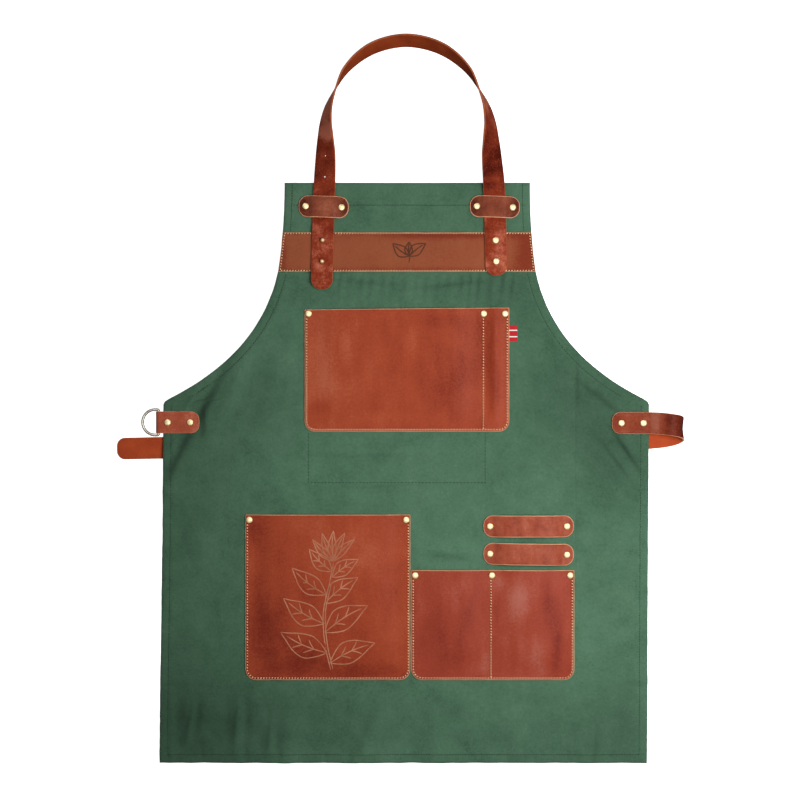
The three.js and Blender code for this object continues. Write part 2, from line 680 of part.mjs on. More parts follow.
/** The waist strap: riveted at the front, turned back and laid under the apron. */
function waistStrap(holes) {
  const station = (x, y, z, half = strapHalf) => ({ at: vec(x, y, z), side: vec(0, -1, 0), half });
  const under = (x, half) => station(x, waistRun(x), strapOnFloor, half);
  const ends = roundedEnd(strapHalf);
  const front = ends.map((e) => station(waistStart + e.back, waistY, strapOnCanvas, e.half));
  const tail = -WAIST.half - WAIST_STRAP.tail;
  const stations = [
    ...front,
    station(WAIST.half - GAP, waistY, strapOnCanvas),
    ...waistTurn(),
    under(WAIST.half - HEM.side),
    ...[...ends].reverse().map((e) => under(tail + e.back, e.half)),
  ];
  return cut(strapSolid(stations, STRAP_LEATHER), holes.map(drill));
}

/** The ring tab: one strip folded round the ring's bar, a leaf on each side of the canvas. */
function ringTab(holes) {
  const at = (x, z, half = strapHalf) => ({ at: vec(x, tabY, z), side: vec(0, 1, 0), half });
  const ends = roundedEnd(strapHalf);
  const straight = barX + TAB.straight;
  const fold = arcPoints(barX, barZ, foldRadius, 90, 270, TAB.bends).map((p) => at(p.x, p.y));
  const stations = [
    ...ends.map((e) => at(tabEnd - e.back, panelMiddle, e.half)),
    at(straight, panelMiddle),
    ...fold,
    at(straight, backLeaf),
    ...[...ends].reverse().map((e) => at(tabEnd - e.back, backLeaf, e.half)),
  ];
  return cut(strapSolid(stations, PANEL_LEATHER), holes.map(drill));
}

/** A closed loop of round wire lying in a plane, mitred at each of its points. */
function wireLoop(points, radius, sides) {
  const corners = [];
  const faces = [];
  const count = points.length;
  points.forEach((point, i) => {
    const into = point.clone().sub(points[(i + count - 1) % count]).normalize();
    const out = points[(i + 1) % count].clone().sub(point).normalize();
    const along = into.clone().add(out).normalize();
    const outward = along.clone().cross(vec(0, 0, 1)).divideScalar(into.dot(along));
    for (let k = 0; k < sides; k++) {
      const angle = (2 * Math.PI * (k + 0.5)) / sides;
      const corner = point.clone().addScaledVector(outward, radius * Math.cos(angle));
      corners.push(corner.setZ(point.z + radius * Math.sin(angle)).toArray());
      const [a, b] = [i * sides + k, i * sides + ((k + 1) % sides)];
      const [d, e] = [a, b].map((n) => (n + sides) % (count * sides));
      faces.push([a, e, b], [a, d, e]);
    }
  });
  return geometryOf(corners, faces);
}

/** The D ring: a bar, two short arms and a round bow of one wire, its bow on the surface. */
function dRing() {
  const { wire, corner, arch } = RING;
  const radius = ringHalf - wire / 2;
  const outline = [
    ...arcPoints(-arch, 0, radius, 90, 270, RING.bow),
    ...arcPoints(-corner, corner - radius, corner, 270, 360, CORNER.steps),
    ...arcPoints(-corner, radius - corner, corner, 0, 90, CORNER.steps),
  ];
  const droop = Math.asin((barZ - wire / 2 - FOOT_CLEARANCE) / (arch + radius));
  return wireLoop(outline, wire / 2, RING.sides).rotateY(-droop).translate(barX, tabY, barZ);
}

/** A set rivet: a back plate, the shank through the layers and a domed cap on top. */
function rivetSolid({ low, high }) {
  const profile = [
    [0, low - GAP - RIVET.plate], [RIVET.back, low - GAP - RIVET.plate],
    [RIVET.back, low - GAP], [RIVET.shank, low - GAP], [RIVET.shank, high + GAP],
    [RIVET.cap, high + GAP], [RIVET.cap * RIVET.shoulder, high + GAP + RIVET.rim],
    [0, high + GAP + RIVET.dome],
  ];
  return turned(profile, RIVET.sides);
}

/** A button stud: a back plate, a neck through the layers and a round head on top. */
function studSolid({ low, high }) {
  const ball = high + GAP + STUD.ball * STUD.sunk;
  const profile = [
    [0, low - GAP - STUD.plate], [STUD.back, low - GAP - STUD.plate],
    [STUD.back, low - GAP], [STUD.neck, low - GAP], [STUD.neck, high + GAP],
  ];
  STUD_RINGS.map(radians).forEach((angle) => {
    profile.push([STUD.ball * Math.cos(angle), ball + STUD.ball * Math.sin(angle)]);
  });
  profile.push([0, ball + STUD.ball]);
  return turned(profile, STUD.sides);
}

/** A round solid about Z from a profile of [radius, z]. */
function turned(profile, sides) {
  const points = profile.map(([r, z]) => new THREE.Vector2(r, z));
  return new THREE.LatheGeometry(points, sides).rotateX(Math.PI / 2);
}

/** The woven tag at the chest pocket's right seam. */
function sideTag() {
  const { reach, height, thick, below } = SIDE_TAG;
  const plate = new THREE.BoxGeometry(reach, height, thick);
  const x = chestPocket.right + GAP + reach / 2;
  return plate.translate(x, chestPocket.top - below - height / 2, canvasTop + GAP + thick / 2);
}

/** Rivets along a pocket's mouth, one at each seam. */
function mouthRivets(piece, { left, right, top, dividers }) {
  const xs = [left + SEAM.inset, ...dividers, right - SEAM.inset];
  return xs.map((x, i) => ({
    name: `rivet_${piece}_${i + 1}`,
    x,
    y: top - SEAM.mouthInset,
    low: lieLevel,
    high: panelTop,
    through: ["apron_body", piece],
  }));
}

/** Rivets at the two ends of a cross band. */
function bandRivets(piece, place, out, low) {
  return crossRivets(place, out).map(({ place: end, x, y }) => ({
    name: `rivet_${piece}_${end}`, x, y, low, high: panelTop, through: ["apron_body", piece],
  }));
}

/** The studs that hold the left neck leg, and the rivets that hold the right one. */
function neckFasteners() {
  const height = { low: lieLevel, high: strapOnBand + STRAP_LEATHER / 2 };
  const through = ["apron_body", "chest_band"];
  return fastenerYs.flatMap((y, i) => [
    { name: `stud_${i + 1}`, x: legX(-1, y), y, ...height, through, stud: true },
    { name: `rivet_neck_${i + 1}`, x: legX(1, y), y, ...height, through: [...through, "neck_strap"] },
  ]);
}

/** The rivets at the waist strap's front end and in the ring tab, one of each in the side hem. */
function sideRivets() {
  const waist = {
    y: waistY, high: strapOnCanvas + STRAP_LEATHER / 2, through: ["apron_body", "waist_strap"],
  };
  const tab = {
    y: tabY, low: backLeaf - PANEL_LEATHER / 2, high: panelTop, through: ["apron_body", "ring_tab"],
  };
  const waistOuter = WAIST.half - HEM.side * WAIST_STRAP.hemShare;
  const tabOuter = HEM.side * TAB.hemShare - WAIST.half;
  return [
    { name: "rivet_waist_inner", x: waistStart + WAIST_STRAP.rivetIn, low: lieLevel, ...waist },
    { name: "rivet_waist_outer", x: waistOuter, low: hemUnderside, ...waist },
    { name: "rivet_tab_inner", x: tabEnd - TAB.rivetIn, ...tab },
    { name: "rivet_tab_outer", x: tabOuter, ...tab },
  ];
}

/** All rivets and studs: where each stands and the pieces that it holds together. */
function fasteners() {
  const keeperOut = keeperHalf - KEEPER.rivetIn;
  return [
    ...bandRivets("neck_keeper_left", keeperPlace(-1), keeperOut, hemUnderside),
    ...bandRivets("neck_keeper_right", keeperPlace(1), keeperOut, hemUnderside),
    ...mouthRivets("chest_pocket", chestPocket),
    ...mouthRivets("large_pocket", largePocket),
    ...mouthRivets("tool_pocket", toolPocket),
    ...toolLoops.flatMap((loop) => bandRivets(loop.name, loop, loopRivetOut, lieLevel)),
    ...neckFasteners(),
    ...sideRivets(),
  ];
}

/** Holes that a piece needs for the fasteners that pass through it. */
function holesIn(piece, list) {
  return list
    .filter((f) => f.through.includes(piece))
    .map((f) => ({ x: f.x, y: f.y, radius: (f.stud ? STUD.neck : RIVET.shank) + HOLE_PLAY }));
}

/** The whole apron as a group of named pieces. */
function apron() {
  const group = new THREE.Group();
  const list = fasteners();
  const { canvas, leather, brass, nickel, tag } = MATERIALS;
  const add = (name, geometry, material) => {
    const mesh = new THREE.Mesh(geometry, material);
    mesh.name = name;
    group.add(mesh);
  };
  const addDrilled = (name, geometry, material) =>
    add(name, cut(geometry, holesIn(name, list).map(drill)), material);
  addDrilled("apron_body", canvasBody(), canvas);
  add("chest_band", chestBand(holesIn("chest_band", list)), leather);
  addDrilled("chest_pocket", pocketPanel(chestPocket), leather);
  addDrilled("large_pocket", pocketPanel(largePocket), leather);
  addDrilled("tool_pocket", pocketPanel(toolPocket), leather);
  toolLoops.forEach((loop) => addDrilled(loop.name, toolLoop(loop), leather));
  addDrilled("neck_keeper_left", neckKeeper(-1), leather);
  addDrilled("neck_keeper_right", neckKeeper(1), leather);
  add("neck_strap", neckStrap(holesIn("neck_strap", list)), leather);
  add("waist_strap", waistStrap(holesIn("waist_strap", list)), leather);
  add("ring_tab", ringTab(holesIn("ring_tab", list)), leather);
  add("d_ring", dRing(), nickel);
  add("side_tag", sideTag(), tag);
  list.forEach((f) => {
    const solid = f.stud ? studSolid(f) : rivetSolid(f);
    add(f.name, solid.translate(f.x, f.y, 0), brass);
  });
  return group;
}

export default apron();
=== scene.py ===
"""A gardening apron as it lies on a pale floor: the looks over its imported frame.

Sizes are millimetres until a piece is handed over to the scene. +X is to the right of the apron,
+Y runs up from the waist to the neck, and +Z points away from the floor.
"""
import logging
import math
from bisect import bisect_right
from dataclasses import dataclass, field
from enum import Enum
from typing import Callable, Iterable, Sequence

import bmesh
import bpy
from bmesh.types import BMesh, BMEdge, BMVert
from mathutils import Matrix, Vector, noise


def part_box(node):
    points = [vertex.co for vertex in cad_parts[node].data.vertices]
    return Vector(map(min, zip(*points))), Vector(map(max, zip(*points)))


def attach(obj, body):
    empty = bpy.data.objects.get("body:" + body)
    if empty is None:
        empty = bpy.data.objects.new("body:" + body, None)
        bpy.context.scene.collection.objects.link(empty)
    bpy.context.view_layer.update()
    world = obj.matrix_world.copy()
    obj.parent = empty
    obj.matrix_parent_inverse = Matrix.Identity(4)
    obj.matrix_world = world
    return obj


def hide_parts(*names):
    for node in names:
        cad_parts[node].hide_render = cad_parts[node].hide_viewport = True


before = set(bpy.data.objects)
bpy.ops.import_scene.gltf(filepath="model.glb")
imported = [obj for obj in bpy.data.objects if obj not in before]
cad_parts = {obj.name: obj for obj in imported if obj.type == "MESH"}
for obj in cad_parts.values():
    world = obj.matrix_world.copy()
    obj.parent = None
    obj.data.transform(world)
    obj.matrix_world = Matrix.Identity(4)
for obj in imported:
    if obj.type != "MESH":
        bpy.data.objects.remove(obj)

logging.basicConfig(level=logging.INFO, format="%(name)s: %(message)s")
log = logging.getLogger("apron")

MM = 0.001
BODY = "apron"
RING_BODY = "ring"
PATTERN = "pattern"
PLACE = Callable[[Vector], Vector]
Colour = tuple[float, float, float]


def paint(red: int, green: int, blue: int) -> Colour:
    """Turn a colour as a screen shows it into the linear one that a shader takes.

    Args:
        red: Red, from 0 to 255.
        green: Green, from 0 to 255.
        blue: Blue, from 0 to 255.

    Returns:
        The linear colour.
    """

    def linear(value: int) -> float:
        """One channel made linear."""
        share = value / 255
        return share / 12.92 if share <= 0.04045 else ((share + 0.055) / 1.055) ** 2.4

    return linear(red), linear(green), linear(blue)


def smooth(share: float) -> float:
    """Ease a share that is kept between 0 and 1."""
    share = min(max(share, 0.0), 1.0)
    return share * share * (3 - 2 * share)


def mix(low: float, high: float, share: float) -> float:
    """The value that lies a share of the way from low to high."""
    return low + (high - low) * share


def ripple(x: float, y: float, size: float, seed: float = 0.0) -> float:
    """Even, seeded unevenness from about -1 to 1, with bumps of about the given size."""
    return noise.noise(Vector((x / size, y / size, seed)))


def bell(off: float, width: float) -> float:
    """A smooth bump: 1 at its middle and next to 0 from two widths off."""
    return math.exp(-((off / width) ** 2))


# Shader maths


class Signal:
    """A value that runs through a material's nodes, which Python's operators work on."""

    def __init__(self, kit: "ShaderKit", socket: bpy.types.NodeSocket) -> None:
        self.kit = kit
        self.socket = socket

    def __add__(self, other: "Value") -> "Signal":
        """Signal plus value."""
        return self.kit.maths("ADD", self, other)

    def __radd__(self, other: "Value") -> "Signal":
        """Value plus signal."""
        return self.kit.maths("ADD", other, self)

    def __sub__(self, other: "Value") -> "Signal":
        """Signal minus value."""
        return self.kit.maths("SUBTRACT", self, other)

    def __rsub__(self, other: "Value") -> "Signal":
        """Value minus signal."""
        return self.kit.maths("SUBTRACT", other, self)

    def __mul__(self, other: "Value") -> "Signal":
        """Signal times value."""
        return self.kit.maths("MULTIPLY", self, other)

    def __rmul__(self, other: "Value") -> "Signal":
        """Value times signal."""
        return self.kit.maths("MULTIPLY", other, self)

    def __truediv__(self, other: "Value") -> "Signal":
        """Signal over value."""
        return self.kit.maths("DIVIDE", self, other)

    def __rtruediv__(self, other: "Value") -> "Signal":
        """Value over signal."""
        return self.kit.maths("DIVIDE", other, self)

    def __pow__(self, other: "Value") -> "Signal":
        """Signal to the power of a value."""
        return self.kit.maths("POWER", self, other)

    def __neg__(self) -> "Signal":
        """The signal turned over."""
        return self.kit.maths("MULTIPLY", self, -1.0)

    def __abs__(self) -> "Signal":
        """The signal's size without its sign."""
        return self.kit.maths("ABSOLUTE", self)

    def ease(self, low: float, high: float) -> "Signal":
        """Run smoothly from 0 where the signal is low to 1 where it is high.

        Args:
            low: The signal's value that gives 0.
            high: The signal's value that gives 1.

        Returns:
            The eased signal.
        """
        return self.kit.node(
            "ShaderNodeMapRange",
            {"interpolation_type": "SMOOTHSTEP"},
            {"Value": self, "From Min": low, "From Max": high},
        )


Value = Signal | float


class ShaderKit:
    """One material while its nodes are put together."""

    def __init__(self, name: str) -> None:
        """Start an empty material with its surface shader.

        Args:
            name: The material's name.
        """
        self.material = bpy.data.materials.new(name)
        self.material.use_nodes = True
        self.tree = self.material.node_tree
        self.tree.nodes.clear()
        self.shader = self.tree.nodes.new("ShaderNodeBsdfPrincipled")
        output = self.tree.nodes.new("ShaderNodeOutputMaterial")
        self.tree.links.new(self.shader.outputs["BSDF"], output.inputs["Surface"])

    def node(
        self,
        kind: str,
        settings: dict[str, object] | None = None,
        inputs: dict[str | int, object] | None = None,
        output: str | int = 0,
    ) -> Signal:
        """Add a node.

        Args:
            kind: The node's type.
            settings: Its settings, such as an operation; "stops" are a ramp's places and colours.
            inputs: Values or links of its sockets.
            output: The output that is wanted.

        Returns:
            The wanted output.
        """
        made = self.tree.nodes.new(kind)
        for key, value in (settings or {}).items():
            if key == "stops":
                self._stops(made.color_ramp, value)
            else:
                setattr(made, key, value)
        for key, value in (inputs or {}).items():
            self.feed(made.inputs[key], value)
        return Signal(self, made.outputs[output])

    @staticmethod
    def _stops(ramp: bpy.types.ColorRamp, stops: Sequence[tuple[float, Colour]]) -> None:
        """Put a ramp's stops at their places with their colours.

        Args:
            ramp: The ramp node.
            stops: Places from 0 to 1 with their colours.
        """
        while len(ramp.elements) < len(stops):
            ramp.elements.new(1.0)
        for element, (place, colour) in zip(ramp.elements, stops):
            element.position = place
            element.color = (*colour, 1.0)

    def feed(self, socket: bpy.types.NodeSocket, value: object) -> None:
        """Link a signal to a socket, or set the socket to a number or colour.

        Args:
            socket: Where the value goes.
            value: A signal, a number or a colour.
        """
        if isinstance(value, Signal):
            self.tree.links.new(value.socket, socket)
        elif isinstance(value, tuple) and len(value) == 3 and socket.type == "RGBA":
            socket.default_value = (*value, 1.0)
        else:
            socket.default_value = value

    def maths(self, operation: str, *values: Value) -> Signal:
        """Work out numbers, each of them a signal or a plain number."""
        return self.node("ShaderNodeMath", {"operation": operation}, dict(enumerate(values)))

    def tint(self, share: Value, low: Signal | Colour, high: Signal | Colour) -> Signal:
        """Mix two colours.

        Args:
            share: How much of the second colour there is.
            low: The colour at 0.
            high: The colour at 1.

        Returns:
            The mixed colour.
        """
        return self.node("ShaderNodeMix", {"data_type": "RGBA"}, {0: share, 6: low, 7: high}, 2)

    def shade(self, colour: Signal | Colour, amount: Signal) -> Signal:
        """Multiply a colour by a grey amount.

        Args:
            colour: The colour to darken or lighten.
            amount: The grey factor.

        Returns:
            The shaded colour.
        """
        grey = self.node("ShaderNodeCombineColor", None, {0: amount, 1: amount, 2: amount})
        return self.node(
            "ShaderNodeMix",
            {"data_type": "RGBA", "blend_type": "MULTIPLY"},
            {0: 1.0, 6: colour, 7: grey},
            2,
        )

    def pattern(self) -> Signal:
        """The flat place on the cut piece, in metres."""
        return self.node("ShaderNodeUVMap", {"uv_map": PATTERN})

    def place(self) -> Signal:
        """The place in the apron's own frame, in metres."""
        return self.node("ShaderNodeTexCoord", None, None, "Object")

    def stretched(self, where: Signal, scale: tuple[float, float, float], turn: float = 0.0) -> Signal:
        """Coordinates scaled along each axis after a turn about Z in degrees.

        Args:
            where: The coordinates.
            scale: Factor along each axis.
            turn: Degrees about Z.

        Returns:
            The new coordinates.
        """
        turned = (0.0, 0.0, math.radians(turn))
        return self.node(
            "ShaderNodeMapping", None, {"Vector": where, "Rotation": turned, "Scale": scale}
        )

    def cloud(self, where: Signal, scale: float, detail: float = 2.0, rough: float = 0.5) -> Signal:
        """Noise from 0 to 1.

        Args:
            where: The coordinates.
            scale: How many features there are in a metre.
            detail: How many finer layers are added.
            rough: How strong the finer layers are.

        Returns:
            The noise.
        """
        inputs = {"Vector": where, "Scale": scale, "Detail": detail, "Roughness": rough}
        return self.node("ShaderNodeTexNoise", None, inputs)

    def cells(self, where: Signal, scale: float, feature: str = "F1") -> Signal:
        """Distance to the nearest of a metre's scattered points, in cells.

        Args:
            where: The coordinates.
            scale: Cells to a metre.
            feature: Which distance is measured.

        Returns:
            The distance.
        """
        return self.node(
            "ShaderNodeTexVoronoi", {"feature": feature}, {"Vector": where, "Scale": scale}
        )

    def split(self, where: Signal) -> tuple[Signal, Signal, Signal]:
        """The three numbers of a vector.

        Args:
            where: The vector.

        Returns:
            Its X, Y and Z.
        """
        made = self.node("ShaderNodeSeparateXYZ", None, {0: where})
        outputs = made.socket.node.outputs
        return Signal(self, outputs[0]), Signal(self, outputs[1]), Signal(self, outputs[2])

    def bump(self, height: Signal, depth: float, strength: float = 1.0) -> Signal:
        """A normal from a height, with the height's depth in metres."""
        inputs = {"Height": height, "Distance": depth, "Strength": strength}
        return self.node("ShaderNodeBump", None, inputs)

    def finish(self, **sockets: object) -> bpy.types.Material:
        """Set the surface shader's sockets.

        Args:
            **sockets: Values or links by socket name, with _ for a space.

        Returns:
            The finished material.
        """
        for name, value in sockets.items():
            self.feed(self.shader.inputs[name.replace("_", " ")], value)
        return self.material


class Finish:
    """A surface finish, whose material is made once."""

    name: str

    def paint_on(self, kit: ShaderKit) -> bpy.types.Material:
        """Put the material's nodes together."""
        raise NotImplementedError

    def material(self) -> bpy.types.Material:
        """The finish's material, made when it is first asked for."""
        return bpy.data.materials.get(self.name) or self.paint_on(ShaderKit(self.name))


@dataclass(frozen=True)
class Patch:
    """A soft lighter or darker place on a material, in millimetres."""

    x: float
    y: float
    wide: float
    high: float
    amount: float
    turn: float = 0.0

    def seen(self, kit: ShaderKit, x: Signal, y: Signal) -> Signal:
        """How much the patch adds at a place.

        Args:
            kit: The material's kit.
            x: The first coordinate, in metres.
            y: The second one.

        Returns:
            The amount, which fades out from the patch's middle.
        """
        turn = math.radians(self.turn)
        dx, dy = x - self.x * MM, y - self.y * MM
        if turn:
            dx, dy = (
                dx * math.cos(turn) + dy * math.sin(turn),
                dy * math.cos(turn) - dx * math.sin(turn),
            )
        dx, dy = dx / (self.wide * MM), dy / (self.high * MM)
        return kit.maths("EXPONENT", -(dx * dx + dy * dy)) * self.amount


@dataclass(frozen=True)
class Leather(Finish):
    """Waxed cowhide that clouds where it was pulled and handled; on some pieces its patches and light
    colour are painted highlights, sheen and shade.
    """

    name: str
    base: Colour
    dark: Colour
    light: Colour
    rough: float = 0.42
    gloss: float = 0.2
    cloud_size: float = 45.0
    contrast: float = 0.75
    patches: tuple[Patch, ...] = ()
    streaks: float = 0.7
    specular: float = 0.3
    grain: float = 0.00018

    def paint_on(self, kit: ShaderKit) -> bpy.types.Material:
        """Put the leather's nodes together.

        Args:
            kit: The empty material.

        Returns:
            The finished material.
        """
        where = kit.pattern()
        x, y, _ = kit.split(where)
        broad = kit.cloud(where, 1 / (self.cloud_size * MM), 3, 0.55)
        fine = kit.cloud(where, 260, 4, 0.62)
        streak = kit.cloud(kit.stretched(where, (1.0, 0.22, 1.0)), 62, 2, 0.5)
        tone = (broad - 0.5) * (1.9 * self.contrast) + (streak - 0.5) * self.streaks
        grit = kit.cloud(where, 700, 2, 0.7)
        tone = tone + (fine - 0.5) * 0.85 + (grit - 0.5) * 1.0
        # Patches lighten or darken places of the tone; on the neck strap, keepers, waist strap and tool
        # pocket they are painted highlights and painted shade.
        for patch in self.patches:
            tone = tone + patch.seen(kit, x, y)
        colour = kit.tint(tone.ease(-0.8, 0.15), self.dark, self.base)
        colour = kit.tint(tone.ease(0.0, 0.8) * 0.85, colour, self.light)
        specks = kit.cloud(where, 560, 2, 0.6).ease(0.6, 0.74)
        colour = kit.tint(specks * 0.42, colour, self.light)
        pores = kit.cells(where, 1050)
        colour = kit.shade(colour, 0.9 + pores.ease(0.05, 0.45) * 0.12)
        height = pores.ease(0.0, 0.6) * 0.6 + kit.cloud(where, 420, 3, 0.6) * 0.8
        height = height + kit.cloud(where, 90, 2, 0.5) * 1.5
        return kit.finish(
            Base_Color=colour,
            Roughness=self.rough + (fine - 0.5) * 0.3 - tone * 0.04,
            Coat_Weight=self.gloss,
            Coat_Roughness=0.28,
            Specular_IOR_Level=self.specular,
            Normal=kit.bump(height, self.grain, 0.55),
        )


@dataclass(frozen=True)
class CutEdge(Finish):
    """The burnished edge of cut leather: waxed fibres, lighter than the grain."""

    name: str
    base: Colour
    dark: Colour

    def paint_on(self, kit: ShaderKit) -> bpy.types.Material:
        """Put the edge's nodes together.

        Args:
            kit: The empty material.

        Returns:
            The finished material.
        """
        where = kit.place()
        fibres = kit.cloud(where, 900, 3, 0.6)
        wear = kit.cloud(where, 55, 3, 0.6)
        colour = kit.tint(wear.ease(0.3, 0.7) * 0.6 + fibres * 0.3, self.dark, self.base)
        return kit.finish(
            Base_Color=colour,
            Roughness=0.5 + fibres * 0.2,
            Normal=kit.bump(fibres, 0.0002, 0.5),
        )


@dataclass(frozen=True)
class Flesh(Finish):
    """The rough inner side of leather, brighter than its grain side."""

    name: str
    base: Colour
    dark: Colour

    def paint_on(self, kit: ShaderKit) -> bpy.types.Material:
        """Put the inner side's nodes together.

        Args:
            kit: The empty material.

        Returns:
            The finished material.
        """
        where = kit.pattern()
        nap = kit.cloud(kit.stretched(where, (0.5, 1.0, 1.0)), 700, 4, 0.65)
        broad = kit.cloud(where, 40, 3, 0.5)
        colour = kit.tint(broad.ease(0.3, 0.7) * 0.7 + nap * 0.3, self.dark, self.base)
        return kit.finish(
            Base_Color=colour,
            Roughness=0.7 + nap * 0.15,
            Specular_IOR_Level=0.1,
            Normal=kit.bump(nap, 0.0003, 0.7),
        )


@dataclass(frozen=True)
class Canvas(Finish):
    """Closely woven cotton twill with a soft, slightly faded face, with painted shade and light in its
    patches.
    """

    name: str
    base: Colour
    dark: Colour
    light: Colour
    crease_x: float
    crease_top: float
    crease_bottom: float
    patches: tuple[Patch, ...] = ()

    def paint_on(self, kit: ShaderKit) -> bpy.types.Material:
        """Put the cloth's nodes together.

        Args:
            kit: The empty material.

        Returns:
            The finished material.
        """
        where = kit.place()
        x, y, _ = kit.split(where)
        broad = kit.cloud(where, 7, 4, 0.6)
        slub = kit.cloud(kit.stretched(where, (1.0, 0.3, 1.0), 20), 900, 3, 0.7)
        weft = kit.cloud(kit.stretched(where, (0.25, 1.0, 1.0)), 1100, 2, 0.6)
        twill = kit.maths("SINE", (x + y) * (2 * math.pi / 0.0011)) * 0.5 + 0.5
        mottle = kit.cloud(where, 38, 3, 0.6)
        speck = kit.cloud(where, 260, 3, 0.7)
        tone = 0.5 + (broad - 0.5) * 0.7 + (slub - 0.5) * 0.42 + (weft - 0.5) * 0.3
        tone = tone + (mottle - 0.5) * 0.5 + (speck - 0.5) * 0.55
        colour = kit.tint(tone.ease(0.05, 0.55), self.dark, self.base)
        colour = kit.tint(tone.ease(0.45, 1.0), colour, self.light)
        lint = kit.cloud(where, 480, 1, 0.4).ease(0.68, 0.76)
        colour = kit.tint(lint * 0.4, colour, self.light)
        amount = 0.96 + twill * 0.06
        # The patches paint shade and light into the cloth's colour.
        for patch in self.patches:
            amount = amount + patch.seen(kit, x, y)
        colour = kit.shade(colour, amount)
        fold = abs(x - self.crease_x * MM + (kit.cloud(where, 14, 2) - 0.5) * 0.003)
        along = y.ease(self.crease_bottom * MM, (self.crease_bottom + 40) * MM)
        along = along * (1 - y.ease((self.crease_top - 60) * MM, self.crease_top * MM))
        crease = (1 - fold.ease(0.0, 0.0022)) * along
        crumple = kit.cells(kit.stretched(where, (1.0, 0.75, 1.0), 25), 13, "DISTANCE_TO_EDGE")
        height = twill * 0.05 + slub * 0.1 + kit.cloud(where, 60, 4, 0.6) * 0.55
        height = height - crease * 0.35 + crumple.ease(0.0, 0.1) * 0.42
        return kit.finish(
            Base_Color=colour,
            Roughness=0.86 + (slub - 0.5) * 0.1,
            Sheen_Weight=0.02,
            Sheen_Roughness=0.6,
            Specular_IOR_Level=0.1,
            Normal=kit.bump(height, 0.0011, 0.75),
        )


@dataclass(frozen=True)
class Thread(Finish):
    """Waxed sewing thread with the twist of its plies."""

    name: str
    base: Colour
    dark: Colour

    def paint_on(self, kit: ShaderKit) -> bpy.types.Material:
        """Put the thread's nodes together.

        Args:
            kit: The empty material.

        Returns:
            The finished material.
        """
        where = kit.place()
        x, y, _ = kit.split(where)
        twist = kit.maths("SINE", (x * 0.6 + y) * (2 * math.pi / 0.0016)) * 0.5 + 0.5
        soil = kit.cloud(where, 170, 2, 0.5)
        colour = kit.tint(soil.ease(0.35, 0.75) * 0.8 + twist * 0.2, self.base, self.dark)
        return kit.finish(
            Base_Color=colour, Roughness=0.6 + soil * 0.2, Normal=kit.bump(twist, 0.0002, 0.6)
        )


@dataclass(frozen=True)
class Metal(Finish):
    """Plated metal, lightly marked by the setting tool and by use."""

    name: str
    base: Colour
    tarnish: Colour
    rough: float
    dents: float
    metallic: float

    def paint_on(self, kit: ShaderKit) -> bpy.types.Material:
        """Put the metal's nodes together.

        Args:
            kit: The empty material.

        Returns:
            The finished material.
        """
        where = kit.place()
        marks = kit.cells(where, 620, "SMOOTH_F1")
        worn = kit.cloud(where, 260, 4, 0.6)
        colour = kit.tint(worn.ease(0.42, 0.72) * 0.6, self.base, self.tarnish)
        return kit.finish(
            Base_Color=colour,
            Metallic=self.metallic,
            Roughness=self.rough + worn * 0.16,
            Normal=kit.bump(marks + worn * 0.3, self.dents, 0.5),
        )


@dataclass(frozen=True)
class Ribbon(Finish):
    """Woven ribbon in one colour with two thin stripes across it."""

    name: str
    base: Colour
    stripe: Colour
    stripes: tuple[float, float]
    width: float

    def paint_on(self, kit: ShaderKit) -> bpy.types.Material:
        """Put the ribbon's nodes together.

        Args:
            kit: The empty material.

        Returns:
            The finished material.
        """
        where = kit.pattern()
        _, y, _ = kit.split(where)
        weave = kit.maths("SINE", y * (2 * math.pi / 0.0007)) * 0.5 + 0.5
        colour = kit.shade(self.base, 0.85 + weave * 0.15)
        for middle in self.stripes:
            off = abs(y - middle * MM)
            line = 1 - off.ease(self.width * MM * 0.4, self.width * MM * 0.6)
            colour = kit.tint(line, colour, self.stripe)
        return kit.finish(
            Base_Color=colour, Roughness=0.75 + weave * 0.1, Normal=kit.bump(weave, 0.0001, 0.6)
        )


class Floor(Finish):
    """The pale floor under the apron."""

    name = "pale_floor"

    def paint_on(self, kit: ShaderKit) -> bpy.types.Material:
        """Put the floor's nodes together.

        Args:
            kit: The empty material.

        Returns:
            The finished material.
        """
        return kit.finish(
            Base_Color=(0.9, 0.9, 0.9),
            Roughness=0.9,
            Emission_Color=(1.0, 1.0, 1.0),
            Emission_Strength=1.0,
        )


HIDE = (paint(160, 66, 38), paint(118, 36, 20), paint(184, 98, 68))
CHEST_HIDE = Leather(
    "chest_hide", *HIDE, rough=0.42, contrast=0.4, streaks=0.6, patches=(
        Patch(-81, 135, 8, 24, 0.3), Patch(8, 142, 8, 26, 0.36), Patch(-68, 78, 40, 24, 0.2),
        Patch(-122, 48, 12, 12, -0.3), Patch(64, 74, 42, 46, -0.24), Patch(60, 168, 70, 10, -0.16),
        Patch(124, 100, 10, 60, -0.1), Patch(-30, 36, 50, 8, 0.15), Patch(-118, 110, 26, 90, 0.42),
        Patch(90, 130, 60, 70, -0.22),
    ),
)
LARGE_HIDE = Leather(
    "large_hide", *HIDE, rough=0.42, streaks=0.5, contrast=0.55, patches=(
        Patch(-70, -150, 70, 40, 0.32), Patch(-10, -250, 26, 60, 0.1), Patch(-205, -120, 26, 24, -0.3),
        Patch(-200, -240, 40, 60, -0.35), Patch(-170, -300, 70, 34, -0.42),
        Patch(-60, -315, 70, 20, -0.4), Patch(-120, -215, 40, 60, -0.12),
        Patch(-22, -210, 18, 80, -0.22), Patch(-215, -180, 8, 90, 0.2),
    ),
)
